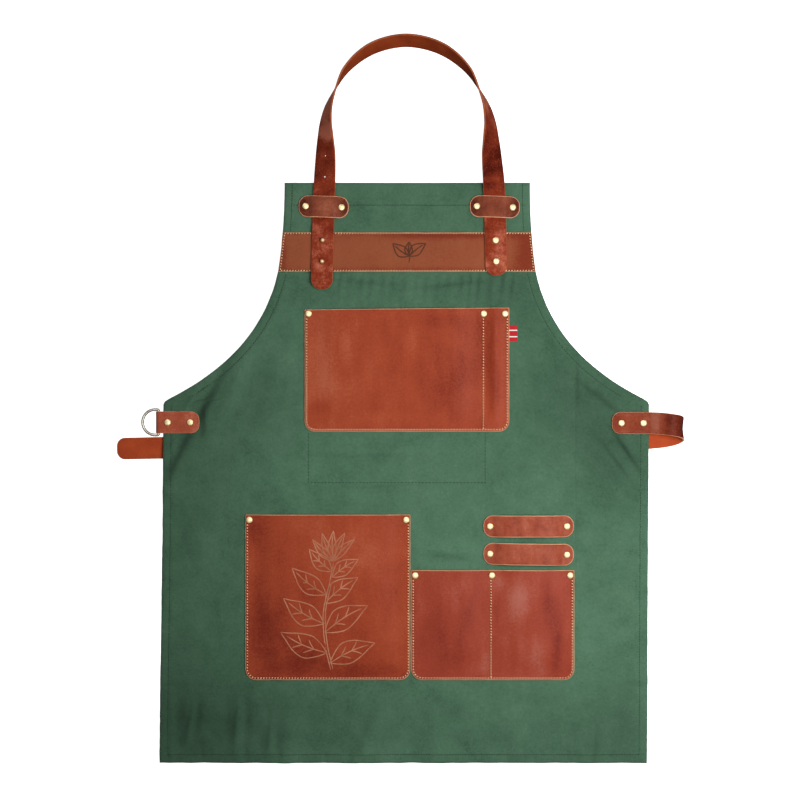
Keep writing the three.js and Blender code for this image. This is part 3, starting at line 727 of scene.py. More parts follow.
# Its pinkish-grey light colour is painted sheen, and its patches are painted highlights and painted shade
# of the leather's slight undulations, over the hide's own tone.
TOOL_HIDE = Leather(
    "tool_hide", paint(154, 62, 42), paint(116, 36, 24), paint(172, 100, 84), rough=0.4,
    streaks=0.6, cloud_size=38, contrast=0.35, patches=(
        Patch(67, -212, 9, 24, 0.3), Patch(88, -232, 10, 32, -0.3), Patch(46, -280, 30, 24, -0.22),
        Patch(108, -300, 9, 28, 0.36), Patch(124, -234, 6, 24, -0.35), Patch(157, -217, 22, 28, 0.6),
        Patch(195, -222, 12, 22, -0.4), Patch(208, -284, 8, 44, -0.45), Patch(221, -237, 7, 44, 0.12),
        Patch(177, -290, 22, 30, 0.35), Patch(20, -230, 8, 50, 0.12), Patch(62, -262, 24, 28, -0.2),
        Patch(198, -250, 10, 60, -0.15), Patch(128, -190, 14, 12, 0.3), Patch(84, -190, 30, 14, 0.15),
    ),
)
# Its pinkish light colour is painted sheen, mixed in at random with the hide's own tone.
LOOP_HIDE = Leather(
    "loop_hide", paint(158, 74, 50), paint(112, 42, 30), paint(180, 106, 86), rough=0.36,
    cloud_size=18, streaks=1.0, contrast=0.9,
)
# Its long thin patches along the top and bottom edges are painted shade in the stitch grooves; its other
# patches darken the two ends.
BAND = Leather(
    "band_hide", paint(147, 79, 50), paint(124, 48, 28), paint(160, 94, 66),
    rough=0.5, gloss=0.06, cloud_size=70, contrast=0.5, streaks=0.3, patches=(
        Patch(60, 288, 110, 7, -0.9), Patch(165, 264, 16, 40, -0.6), Patch(-60, 237, 130, 5, -0.4),
        Patch(-170, 262, 7, 40, -0.5), Patch(90, 237, 90, 5, -0.4),
    ),
)
# Its gloss is off; its pale light colour and its strongest patches are painted sheen where the legs twist,
# and its darker patches are painted shade on the legs.
NECK_HIDE = Leather(
    "neck_hide", paint(134, 51, 30), paint(76, 21, 12), paint(204, 118, 92),
    rough=0.45, gloss=0.0, specular=0.05, cloud_size=20, contrast=0.9, streaks=0.5, patches=(
        Patch(1075, 400, 36, 40, -0.15), Patch(1020, 400, 14, 30, -0.4), Patch(925, 400, 12, 30, 0.2),
        Patch(1528, 400, 40, 40, -0.6), Patch(960, 400, 14, 18, 0.3), Patch(1118, 400, 12, 40, 0.7),
        Patch(1655, 400, 34, 40, 0.3), Patch(1156, 400, 30, 40, 1.1), Patch(1432, 400, 30, 40, 1.0),
    ),
)
# Its patches are a painted highlight on each keeper's bridge and painted shade down its two sides.
KEEPER_HIDE = Leather(
    "keeper_hide", paint(130, 62, 40), paint(78, 24, 14), paint(168, 96, 70),
    rough=0.32, gloss=0.25, cloud_size=18, contrast=0.7, streaks=0.5, patches=(
        Patch(-157, 748, 14, 30, 0.3), Patch(-186, 748, 9, 30, -0.5), Patch(-126, 748, 9, 30, -0.45),
        Patch(240, 748, 14, 30, 0.1), Patch(214, 748, 8, 30, -0.5), Patch(272, 748, 9, 30, -0.5),
    ),
)
# Its patches are a painted highlight on the top of the strap's turn and painted shade round the back of it.
WAIST_HIDE = Leather(
    "waist_hide", paint(130, 56, 34), paint(84, 26, 14), paint(164, 96, 76),
    rough=0.36, gloss=0.08, specular=0.2, cloud_size=22, contrast=0.6, streaks=0.4, patches=(
        Patch(362, 1500, 10, 30, 0.5), Patch(380, 1500, 8, 30, -0.5), Patch(402, 1500, 14, 30, -0.8),
    ),
)
TAB_HIDE = Leather(
    "tab_hide", paint(172, 82, 56), paint(130, 50, 32), paint(206, 136, 112),
    rough=0.36, gloss=0.2, cloud_size=26, contrast=0.8, streaks=0.4,
)
EDGE = CutEdge("cut_edge", paint(238, 182, 142), paint(196, 126, 90))
NECK_EDGE = CutEdge("worn_cut_edge", paint(190, 106, 66), paint(148, 70, 40))
FLESH = Flesh("rough_side", paint(186, 80, 42), paint(164, 66, 38))
# A darker copy of the rough side for the neck strap: painted shade.
NECK_FLESH = Flesh("neck_rough_side_shaded", paint(154, 66, 31), paint(130, 50, 21))
# The cloth's patches are painted shade and light: darker towards the bottom-left and the left as the light
# falls off, darker under the chest band and round the right tab, turned dark bands along fold valleys and
# creases with a painted highlight beside one ridge, and a few lighter places.
CLOTH = Canvas(
    "green_canvas", paint(77, 110, 87), paint(55, 86, 65), paint(95, 128, 104), 233, 101, -327,
    patches=(
        Patch(-300, -410, 150, 140, -0.38), Patch(-310, -60, 110, 150, -0.16),
        Patch(-330, 30, 50, 60, -0.12), Patch(205, 90, 80, 70, -0.2), Patch(-190, 60, 60, 70, -0.1),
        Patch(0, 215, 200, 26, -0.08), Patch(250, -400, 120, 70, -0.14),
        Patch(275, 15, 85, 85, -0.34), Patch(140, 205, 80, 50, -0.2), Patch(110, 345, 36, 40, -0.16),
        Patch(-175, 355, 26, 30, -0.14), Patch(-150, -45, 80, 55, 0.13),
        Patch(50, -150, 70, 36, 0.13), Patch(245, -270, 30, 70, 0.13),
        Patch(-130, -375, 200, 32, -0.1), Patch(300, -380, 30, 60, -0.14),
        Patch(300, -60, 60, 60, -0.12), Patch(-300, 40, 40, 60, -0.06), Patch(120, -40, 60, 40, -0.1),
        Patch(-281, 42, 70, 7, -0.34, 61), Patch(-297, 52, 44, 4, 0.2, 61),
        Patch(-318, -30, 26, 5, -0.2, 66), Patch(-252, 60, 40, 12, -0.12, 66),
        Patch(236, 82, 3, 34, -0.14), Patch(300, -6, 30, 3, -0.24, -56),
        Patch(290, -26, 34, 3, -0.16, -53), Patch(270, 60, 50, 4, -0.14, -38),
        Patch(-60, -17, 80, 3, -0.1), Patch(-46, -60, 60, 2.5, -0.1, 2),
        Patch(60, -153, 42, 4, -0.14, -6), Patch(-60, 222, 60, 4, -0.14, -4),
        Patch(60, 218, 50, 4, -0.16, 7), Patch(-300, -385, 28, 4, -0.2, 80),
        Patch(-236, -388, 34, 4, -0.22, 86), Patch(-190, -405, 26, 4, -0.2, 84),
        Patch(-60, -402, 40, 8, -0.1, 70), Patch(262, -418, 40, 6, -0.14, 84),
    ),
)
CREAM_THREAD = Thread("cream_thread", paint(255, 224, 180), paint(242, 180, 128))
GREEN_THREAD = Thread("green_thread", paint(34, 60, 44), paint(46, 76, 56))
# Dark discs between stitches: painted shade of the needle holes.
PRICK = CutEdge("needle_hole_painted_shade", paint(80, 28, 16), paint(60, 20, 12))
BRASS = Metal("pale_brass", paint(255, 234, 184), paint(244, 200, 132), 0.22, 0.0002, 0.6)
# A darker copy of the brass for the faces that tilt away from overhead: painted shade.
BRASS_SHADED_RIM = Metal("brass_rim_painted_shade", paint(214, 162, 92), paint(158, 102, 50), 0.3, 0.0001, 0.6)
NICKEL = Metal("aged_nickel", paint(244, 238, 222), paint(214, 198, 170), 0.18, 0.0001, 0.9)
# A darker copy of the nickel for the ring's side faces: painted shade and reflection.
NICKEL_SIDE = Metal("nickel_side_painted_shade", paint(112, 100, 82), paint(78, 64, 48), 0.35, 0.0001, 0.9)
RIBBON = Ribbon("red_ribbon", paint(190, 44, 48), paint(240, 232, 226), (6.6, 15.4), 1.5)
LINE = CutEdge("scorched_line", paint(204, 140, 108), paint(160, 92, 64))
MARK = CutEdge("pressed_mark", paint(98, 58, 40), paint(78, 42, 28))


# Sizes that the pieces share


@dataclass(frozen=True)
class Stock:
    """Thicknesses and heights of the layers, in millimetres."""

    canvas: float = 1.0
    hem_fold: float = 1.0
    panel: float = 1.8
    strap: float = 2.6
    strap_width: float = 30.0
    gap: float = 0.3
    lie: float = 4.2

    @property
    def canvas_top(self) -> float:
        """The quiet canvas's upper face."""
        return self.lie + self.canvas

    @property
    def panel_base(self) -> float:
        """The under face of leather laid on the canvas."""
        return self.canvas_top + self.gap

    @property
    def panel_top(self) -> float:
        """The upper face of leather laid on the canvas."""
        return self.panel_base + self.panel

    @property
    def strap_on_canvas(self) -> float:
        """The middle of a strap laid on the canvas."""
        return self.canvas_top + self.gap + self.strap / 2

    @property
    def strap_on_band(self) -> float:
        """The middle of a strap laid on the chest band."""
        return self.panel_top + self.gap + self.strap / 2

    @property
    def strap_half(self) -> float:
        """Half the width of a strap."""
        return self.strap_width / 2


STOCK = Stock()


@dataclass(frozen=True)
class Room:
    """The box that a CAD node fills, in millimetres."""

    left: float
    right: float
    bottom: float
    top: float
    low: float
    high: float

    @classmethod
    def of(cls, node: str) -> "Room":
        """The room of the CAD node of that name."""
        lo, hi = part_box(node)
        return cls(*(v / MM for v in (lo.x, hi.x, lo.y, hi.y, lo.z, hi.z)))

    @property
    def middle(self) -> Vector:
        """The middle of the box in the plane."""
        return Vector(((self.left + self.right) / 2, (self.bottom + self.top) / 2, 0))

    def away(self, x: float, y: float) -> float:
        """Distance in the plane from the box, 0 inside it.

        Args:
            x: Place across.
            y: Place along.

        Returns:
            The distance in millimetres.
        """
        dx = max(self.left - x, 0.0, x - self.right)
        dy = max(self.bottom - y, 0.0, y - self.top)
        return math.hypot(dx, dy)


# Making and handing over of meshes


class Side(Enum):
    """The faces of a piece of leather, in the order of its materials."""

    GRAIN = 0
    EDGE = 1
    FLESH = 2


def deliver(
    name: str,
    bm: BMesh,
    finishes: Sequence[Finish],
    slot: str,
    stands_for: Iterable[str] = (),
    body: str = BODY,
    sharp: float = 50.0,
) -> bpy.types.Object:
    """Turn a finished mesh in millimetres into a piece of the scene.

    Args:
        name: The piece's name.
        bm: Its mesh, which is freed.
        finishes: Its finishes, by the mesh's material numbers.
        slot: The record's material slot; not used.
        stands_for: The CAD nodes that it replaces.
        body: The CAD body that it rides on.
        sharp: The angle between faces, in degrees, past which an edge stays sharp.

    Returns:
        The new object.
    """
    bmesh.ops.scale(bm, vec=(MM, MM, MM), verts=bm.verts)
    mesh = bpy.data.meshes.new(name)
    bm.to_mesh(mesh)
    bm.free()
    mesh.shade_smooth()
    mesh.set_sharp_from_angle(angle=math.radians(sharp))
    for finish in finishes:
        mesh.materials.append(finish.material())
    piece = bpy.data.objects.new(name, mesh)
    bpy.context.scene.collection.objects.link(piece)
    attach(piece, body)
    if stands_for:
        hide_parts(*stands_for)
    log.info("%s: %d faces", name, len(mesh.polygons))
    return piece


def spline(points: Sequence[Vector], steps: int) -> list[Vector]:
    """Run a smooth curve through points.

    Args:
        points: The points, in order.
        steps: How many pieces each span is cut into.

    Returns:
        The curve's points, the last one included.
    """
    ends = [points[0] * 2 - points[1], *points, points[-1] * 2 - points[-2]]
    made = []
    for i in range(len(points) - 1):
        a, b, c, d = ends[i : i + 4]
        first, middle, last = (max(v.length**0.5, 1e-4) for v in (b - a, c - b, d - c))
        leave = ((b - a) / first - (c - a) / (first + middle) + (c - b) / middle) * middle
        reach = ((c - b) / middle - (d - b) / (middle + last) + (d - c) / last) * middle
        for k in range(steps):
            t = k / steps
            made.append(
                b * (2 * t**3 - 3 * t**2 + 1) + leave * (t**3 - 2 * t**2 + t)
                + c * (3 * t**2 - 2 * t**3) + reach * (t**3 - t**2)
            )
    return [*made, points[-1].copy()]


def evenly(line: Sequence[Vector], pitch: float) -> list[tuple[Vector, Vector]]:
    """Walk along a line in equal steps.

    Args:
        line: The line's points.
        pitch: The wanted step.

    Returns:
        Places in the middle of each step, each with its direction.
    """
    lengths = [(b - a).length for a, b in zip(line, line[1:])]
    count = max(round(sum(lengths) / pitch), 1)
    step = sum(lengths) / count
    made, index, passed = [], 0, 0.0
    for k in range(count):
        run = (k + 0.5) * step
        while index < len(lengths) - 1 and passed + lengths[index] < run:
            passed += lengths[index]
            index += 1
        along = line[index + 1] - line[index]
        share = (run - passed) / max(lengths[index], 1e-6)
        made.append((line[index] + along * share, along.normalized()))
    return made


class Blank:
    """A flat piece cut from a hide, before it is laid in its place."""

    RIM = "rim"

    def __init__(self, corners: Sequence[tuple[float, float]]) -> None:
        """Cut the piece out, its corners named anticlockwise.

        Args:
            corners: Places of the corners.
        """
        self.bm = bmesh.new()
        self.bm.verts.layers.float.new(self.RIM)
        self.bm.loops.layers.uv.new(PATTERN)
        self.bm.faces.new([self.bm.verts.new((x, y, 0)) for x, y in corners])
        self._mark(self.bm.verts, 1.0)

    def _mark(self, verts: Iterable[BMVert], share: float) -> None:
        """Say how far the corners are from the rim, 0 on it and 1 inside the border.

        Args:
            verts: The corners to mark.
            share: Their share of the border.
        """
        rim = self.bm.verts.layers.float[self.RIM]
        for vert in verts:
            vert[rim] = share

    def round(self, radius: float, picked: Callable[[Vector], bool] | None = None) -> "Blank":
        """Round the corners that are picked, or all of them.

        Args:
            radius: The corners' radius.
            picked: Which corners are rounded, or None for all.

        Returns:
            The piece itself.
        """
        corners = [v for v in self.bm.verts if picked is None or picked(v.co)]
        bmesh.ops.bevel(
            self.bm, geom=corners, offset=radius, segments=10, profile=0.5,
            affect="VERTICES", material=-1, clamp_overlap=False,
        )
        return self

    def border(self, width: float) -> "Blank":
        """Mark a border along the rim, which is eased round when the piece is thickened.

        Args:
            width: The border's width.

        Returns:
            The piece itself.
        """
        self.bm.faces.ensure_lookup_table()
        face = self.bm.faces[0]
        self._mark(face.verts, 0.0)
        for share in (0.5, 1.0):
            bmesh.ops.inset_region(
                self.bm, faces=[face], thickness=width / 2, use_boundary=True,
                use_even_offset=True,
            )
            self._mark(face.verts, share)
        return self

    def rule(self, pitch_x: float, pitch_y: float | None = None) -> "Blank":
        """Cut the piece into cells of about the given sizes.

        Args:
            pitch_x: Cell size along X.
            pitch_y: Cell size along Y.

        Returns:
            The piece itself.
        """
        for axis, pitch in ((0, pitch_x), (1, pitch_y or pitch_x)):
            low = min(v.co[axis] for v in self.bm.verts)
            high = max(v.co[axis] for v in self.bm.verts)
            count = max(round((high - low) / pitch), 1)
            normal = Vector((axis == 0, axis == 1, 0))
            for i in range(1, count):
                bmesh.ops.bisect_plane(
                    self.bm, geom=[*self.bm.verts, *self.bm.edges, *self.bm.faces],
                    dist=1e-3, plane_co=normal * mix(low, high, i / count), plane_no=normal,
                )
        return self

    def thicken(self, thickness: float, ease: float = 0.0) -> "Blank":
        """Give the piece its thickness, from its under face up.

        Args:
            thickness: How thick it is.
            ease: How far the rim's two edges are rounded off.

        Returns:
            The blank.
        """
        made = bmesh.ops.extrude_face_region(self.bm, geom=self.bm.faces[:])
        raised = {g for g in made["geom"] if isinstance(g, BMVert)}
        rim = self.bm.verts.layers.float[self.RIM]
        for vert in self.bm.verts:
            drop = ease * (1 - math.sqrt(1 - (1 - min(vert[rim], 1.0)) ** 2))
            vert.co.z = thickness - drop if vert in raised else drop
        bmesh.ops.recalc_face_normals(self.bm, faces=self.bm.faces)
        for face in self.bm.faces:
            if min(v[rim] for v in face.verts) < 0.99:
                face.material_index = Side.EDGE.value
            elif face.normal.z < 0:
                face.material_index = Side.FLESH.value
        return self

    def punch(self, cutter: BMesh) -> "Blank":
        """Cut holes through the thickened piece.

        Args:
            cutter: Solids in the shape of the holes, which are freed.

        Returns:
            The blank.
        """
        held = []
        for bm in (self.bm, cutter):
            mesh = bpy.data.meshes.new("punch")
            bm.to_mesh(mesh)
            held.append(bpy.data.objects.new("punch", mesh))
            bpy.context.scene.collection.objects.link(held[-1])
        cutter.free()
        modifier = held[0].modifiers.new("holes", "BOOLEAN")
        modifier.operation = "DIFFERENCE"
        modifier.solver = "EXACT"
        modifier.object = held[1]
        cut = held[0].evaluated_get(bpy.context.evaluated_depsgraph_get())
        self.bm.clear()
        self.bm.from_mesh(cut.data)
        for spare in held:
            bpy.data.meshes.remove(spare.data)
        for face in self.bm.faces:
            if abs(face.normal.z) < 0.3:
                face.material_index = Side.EDGE.value
        return self

    def lay(self, place: PLACE, shift: tuple[float, float] = (0.0, 0.0)) -> BMesh:
        """Bend the piece to its place, and keep its flat form as its pattern.

        Args:
            place: Where each point of the flat piece goes.
            shift: Moves the pattern, so that no two pieces are cut from one place of the hide.

        Returns:
            The piece's mesh.
        """
        uv = self.bm.loops.layers.uv[PATTERN]
        for face in self.bm.faces:
            for loop in face.loops:
                flat = loop.vert.co
                loop[uv].uv = ((flat.x + shift[0]) * MM, (flat.y + shift[1]) * MM)
        for vert in self.bm.verts:
            vert.co = place(vert.co)
        self.bm.verts.layers.float.remove(self.bm.verts.layers.float[self.RIM])
        if self.bm.calc_volume(signed=True) < 0:
            bmesh.ops.reverse_faces(self.bm, faces=self.bm.faces[:])
        return self.bm


class Run:
    """The way that a strap runs: its middle line, with the direction across it."""

    STEP = 1.5

    def __init__(
        self, points: Sequence[Vector], sides: Sequence[Vector], thickness: float,
        half: float, passes: int = 2,
    ) -> None:
        """Follow a line.

        Args:
            points: Places on the line.
            sides: The direction across the strap at each place.
            thickness: The strap's thickness.
            half: Half of its width.
            passes: How often the line's corners are smoothed.
        """
        self.thickness = thickness
        points, sides = self._resampled(points, sides)
        for _ in range(passes):
            points = self._softened(points)
        self.points, self.sides, self.normals, self.runs = points, [], [], [0.0]
        for i, side in enumerate(sides):
            along = points[min(i + 1, len(points) - 1)] - points[max(i - 1, 0)]
            along.normalize()
            side = (side - along * side.dot(along)).normalized()
            normal = side.cross(along).normalized()
            reach = half * abs(side.z) + thickness / 2 * abs(normal.z)
            points[i].z = max(points[i].z, reach)
            self.sides.append(side)
            self.normals.append(normal)
            if i:
                self.runs.append(self.runs[-1] + (points[i] - points[i - 1]).length)

    def _resampled(
        self, points: Sequence[Vector], sides: Sequence[Vector]
    ) -> tuple[list[Vector], list[Vector]]:
        """Put stations at even steps along the line.

        Args:
            points: Places on the line.
            sides: The direction across at each place.

        Returns:
            The new places and directions.
        """
        new_points, new_sides = [points[0].copy()], [sides[0].copy()]
        for a, b, side_a, side_b in zip(points, points[1:], sides, sides[1:]):
            count = max(math.ceil((b - a).length / self.STEP), 1)
            for k in range(1, count + 1):
                new_points.append(a.lerp(b, k / count))
                new_sides.append(side_a.lerp(side_b, k / count))
        return new_points, new_sides

    @staticmethod
    def _softened(points: list[Vector]) -> list[Vector]:
        """Draw each station towards its neighbours, the two ends kept."""
        middle = [(a + b * 2 + c) / 4 for a, b, c in zip(points, points[1:], points[2:])]
        return [points[0], *middle, points[-1]]

    @property
    def length(self) -> float:
        """The line's length."""
        return self.runs[-1]

    def at(self, flat: Vector) -> Vector:
        """Where a point of the flat strap goes: x along it, y across it, z through it.

        Args:
            flat: The point in the flat strap.

        Returns:
            Its place on the laid strap.
        """
        run = min(max(flat.x, 0.0), self.length)
        i = min(bisect_right(self.runs, run), len(self.runs) - 1)
        share = (run - self.runs[i - 1]) / max(self.runs[i] - self.runs[i - 1], 1e-6)
        middle = self.points[i - 1].lerp(self.points[i], share)
        side = self.sides[i - 1].lerp(self.sides[i], share).normalized()
        normal = self.normals[i - 1].lerp(self.normals[i], share).normalized()
        return middle - side * flat.y + normal * (flat.z - self.thickness / 2)

    def run_at(self, picked: Callable[[Vector], bool]) -> float:
        """How far along the line the first station that is picked lies."""
        return next(run for run, point in zip(self.runs, self.points) if picked(point))


@dataclass
class Strip:
    """A strap or band of leather with rounded ends, laid along a run."""

    name: str
    run: Run
    grain: Leather
    slot: str
    stands_for: tuple[str, ...]
    width: float = STOCK.strap_width
    end_round: float = 12.5
    border: float = 1.0
    shift: tuple[float, float] = (0.0, 0.0)
    cell: float = 4.0
    flesh: Flesh = FLESH
    edge: CutEdge = EDGE

    def build(self, cutter: BMesh | None = None) -> bpy.types.Object:
        """Cut, thicken and bend the strip.

        Args:
            cutter: Solids in the shape of holes in the flat strip, or None.

        Returns:
            The strip.
        """
        half = self.width / 2
        corners = [(0, -half), (self.run.length, -half), (self.run.length, half), (0, half)]
        blank = Blank(corners).round(self.end_round).border(self.border)
        blank.rule(self.cell, 5.0).thicken(self.run.thickness, 0.55)
        if cutter:
            blank.punch(cutter)
        bm = blank.lay(self.run.at, self.shift)
        return deliver(self.name, bm, (self.grain, self.edge, self.flesh), self.slot, self.stands_for)


class Stitching:
    """Rows of stitches that become one piece."""

    BATCH = 20

    def __init__(
        self, name: str, finish: Finish, length: float, width: float, pricked: bool = False
    ) -> None:
        """Thread the needle.

        Args:
            name: The piece's name.
            finish: The thread's finish.
            length: Each stitch's length.
            width: The thread's width.
            pricked: Whether painted shade of needle holes shows between the stitches, as dark discs.
        """
        self.name = name
        self.pricked = pricked
        self.finish = finish
        self.length = length
        self.width = width
        self.bm = bmesh.new()

    def row(
        self, line: Sequence[Vector], pitch: float, height: Callable[[float, float], float],
        slant: float = 0.0,
    ) -> None:
        """Sew one row.

        Args:
            line: The row's line in the plane.
            pitch: The distance from stitch to stitch.
            height: The surface's height at a place.
            slant: The stitches' turn out of the line, in degrees.
        """
        places = evenly(line, pitch)
        for start in range(0, len(places), self.BATCH):
            batch = bmesh.new()
            for middle, along in places[start : start + self.BATCH]:
                bmesh.ops.create_uvsphere(
                    batch, u_segments=6, v_segments=4, radius=1,
                    matrix=self._lie(middle, along, height, slant),
                )
                if self.pricked:
                    self._prick(batch, middle + along * pitch / 2, height)
            mesh = bpy.data.meshes.new("batch")
            batch.to_mesh(mesh)
            batch.free()
            self.bm.from_mesh(mesh)
            bpy.data.meshes.remove(mesh)

    def _prick(self, batch: BMesh, at: Vector, height: Callable[[float, float], float]) -> None:
        """Add a dark disc of painted shade for a needle hole between two stitches.

        Args:
            batch: Mesh that the hole is added to.
            at: The hole's middle.
            height: Height of the surface.
        """
        place = Matrix.Translation((at.x, at.y, height(at.x, at.y) + 0.02))
        made = bmesh.ops.create_cone(
            batch, cap_ends=True, segments=6, radius1=self.width * 0.75, radius2=0.1, depth=0.25,
            matrix=place,
        )
        for face in {f for v in made["verts"] for f in v.link_faces}:
            face.material_index = 1

    def _lie(
        self, middle: Vector, along: Vector, height: Callable[[float, float], float], slant: float
    ) -> Matrix:
        """How a unit ball becomes a stitch that lies on the surface.

        Args:
            middle: The stitch's middle in the plane.
            along: The row's direction.
            height: The surface's height at a place.
            slant: The stitch's turn out of the row, in degrees.

        Returns:
            The matrix.
        """
        turn = math.atan2(along.y, along.x) + math.radians(slant)
        ahead = Vector((math.cos(turn), math.sin(turn), 0)) * self.length / 2
        front = height(middle.x + ahead.x, middle.y + ahead.y)
        back = height(middle.x - ahead.x, middle.y - ahead.y)
        tilt = math.atan2(front - back, self.length)
        size = (self.length / 2, self.width / 2, self.width / 2.4, 1)
        return (
            Matrix.Translation((middle.x, middle.y, (front + back) / 2 + self.width * 0.22))
            @ Matrix.Rotation(turn, 4, "Z")
            @ Matrix.Rotation(-tilt, 4, "Y")
            @ Matrix.Diagonal(size)
        )

    def build(self, slot: str) -> bpy.types.Object:
        """Hand the rows over as one piece."""
        return deliver(self.name, self.bm, (self.finish, PRICK), slot, sharp=180)


# The canvas body


@dataclass(frozen=True)
class Fold:
    """A soft ridge in the cloth, with a valley beside it."""

    x: float
    y: float
    turn: float
    length: float
    width: float
    height: float
    valley: float = 0.0
    lee: float = 1.0

    def rise(self, x: float, y: float) -> float:
        """The height that it adds at a place.

        Args:
            x: Place across.
            y: Place along.

        Returns:
            The height in millimetres.
        """
        turn = math.radians(self.turn)
        dx, dy = x - self.x, y - self.y
        along = (dx * math.cos(turn) + dy * math.sin(turn)) / self.length
        across = (dy * math.cos(turn) - dx * math.sin(turn)) / self.width
        across = across / self.lee if across < 0 else across
        if abs(along) > 2.4 or abs(across) > 4:
            return 0.0
        ridge = math.exp(-across * across)
        hollow = math.exp(-((across + 1.7) ** 2)) * self.valley
        return self.height * math.exp(-along * along) * (ridge - hollow)


@dataclass(frozen=True)
class Swell:
    """Low waves all over the cloth, which die away near leather that lies on it."""

    length: float
    height: float
    seed: float
    near: float
    far: float
    stretch: float = 1.0


@dataclass
class CanvasBody:
    """The green canvas: one sheet with hems turned to the back, lying in soft folds."""

    bib_top: float = 358.6
    bib_half: float = 169.0
    band_half: float = 177.5
    band_bottom: float = 236.0
    flare: float = 2.2
    corner_y: float = 58.7
    corner_drop: float = 6.5
    corner_cut: float = 3.3
    waist_half: float = 334.5
    skirt_flare: float = 1.5
    drop: float = 441.3
    bib_lean: float = 0.005
    skirt_lean: float = 0.009
    side_hem: float = 12.2
    top_hem: float = 32.0
    settle: float = 60.0
    settle_from: float = 45.0
    settle_to: float = 110.0
    armhole_pull: tuple[tuple[float, float], ...] = ((0.114, 0.46), (0.465, 0.771))
    cell: float = 3.8
    laid: tuple[str, ...] = (
        "chest_pocket", "large_pocket", "tool_pocket", "tool_loop_lower", "tool_loop_upper",
        "ring_tab",
    )
    folds: tuple[Fold, ...] = (
        Fold(-276, 36, 61, 82, 10, 7.0, 0.0, 2.4),
        Fold(-294, 47, 61, 64, 5.5, 4.0),
        Fold(-240, 74, 66, 60, 8, 2.6, 0.5),
        Fold(-277, -119, 62, 57, 24, 3.4, 0.4),
        Fold(-300, -273, 8, 26, 12, 1.8, 0.6),
        Fold(-322, -34, 4, 14, 4, 1.6, 0.8),
        Fold(-322, -68, -6, 14, 4, 1.6, 0.8),
        Fold(-322, -112, 6, 12, 4, 1.2, 0.8),
        Fold(309, -6, 122, 34, 7, 3.4, 0.9),
        Fold(292, -40, 128, 40, 10, 2.4, 0.6),
        Fold(262, -192, 24, 42, 8, 2.4, 0.8),
        Fold(280, -214, 18, 30, 12, 2.2, 0.5),
        Fold(240, -120, 40, 60, 24, 2.0, 0.5),
        Fold(-46, -17, 0, 86, 6, 1.3, 0.7),
        Fold(-26, -61, 1, 66, 5, 1.1, 0.7),
        Fold(-80, -79, -2, 52, 5, 1.0, 0.6),
        Fold(60, -153, -6, 42, 6, 2.2, 1.0),
        Fold(80, -120, 14, 50, 16, 1.4, 0.5),
        Fold(30, 197, 0, 120, 8, 1.2, 0.3),
        Fold(-301, -376, 82, 24, 7, 3.6, 1.0),
        Fold(-236, -384, 88, 36, 8, 4.0, 1.0),
        Fold(-191, -407, 84, 20, 7, 3.0, 0.9),
        Fold(-268, -330, 76, 44, 16, 2.4, 0.5),
        Fold(-168, -432, 80, 38, 18, 3.0, 0.4),
        Fold(-60, -400, 70, 40, 20, 2.4, 0.4),
        Fold(40, -426, 94, 34, 18, 3.0, 0.4),
        Fold(150, -396, 102, 44, 16, 2.4, 0.4),
        Fold(256, -418, 84, 42, 18, 3.4, 0.5),
        Fold(-316, -327, 3, 15, 4, 1.6, 0.7),
        Fold(316, -327, -3, 15, 4, 1.6, 0.7),
        Fold(-190, 150, 60, 46, 12, 1.8, 0.5),
        Fold(-172, 120, 74, 60, 16, 1.6, 0.5),
        Fold(205, 148, 118, 50, 12, 1.8, 0.5),
        Fold(182, 110, 104, 60, 12, 1.6, 0.5),
        Fold(-40, 325, 8, 60, 10, 0.9, 0.4),
        Fold(30, 308, -6, 70, 8, 0.8, 0.5),
    )
    fold_room: tuple[float, float] = (1.5, 10.0)
    swells: tuple[Swell, ...] = (
        Swell(95, 2.2, 3.1, 8.0, 60.0),
        Swell(34, 1.7, 7.7, 3.0, 22.0, 0.8),
        Swell(15, 0.5, 12.5, 3.0, 22.0),
    )
    strap_under: float = 21.0
    strap_slope: float = 0.0198
    strap_gap: float = 0.35
    floor_gap: float = 0.3
    pucker_from: float = -98.0
    pucker_to: float = 150.0
    gather_reach: float = 13.0
    gather_height: float = 1.2
    side_seam: float = 11.0
    foot_seam: float = 12.0
    top_seam: float = 31.0
    hem_pitch: float = 3.6
    pocket_pitch: float = 4.8
    rooms: list[Room] = field(default_factory=list)

    def __post_init__(self) -> None:
        """Read the rooms of the pieces laid on the canvas, and draw the armhole."""
        self.rooms = [Room.of(name) for name in self.laid]
        waist = Room.of("rivet_waist_inner")
        self.rooms.append(Room(waist.left - 8, 340, waist.bottom - 11, waist.top + 11, 0, 0))
        self.rooms.append(Room(-180, 180, self.band_bottom - 2, 290, 0, 0))
        self.rooms.append(Room(-160, -70, 288, self.bib_top, 0, 0))
        self.rooms.append(Room(80, 165, 288, self.bib_top, 0, 0))
        start = Vector((self.band_half, self.band_bottom))
        end = Vector((self.waist_half - self.corner_cut, self.corner_y))
        first, second = (
            Vector((mix(start.x, end.x, out), mix(start.y, end.y, down)))
            for out, down in self.armhole_pull
        )
        self.armhole = [
            start * (1 - t) ** 3 + first * 3 * t * (1 - t) ** 2
            + second * 3 * t * t * (1 - t) + end * t**3
            for t in (i / 200 for i in range(201))
        ]

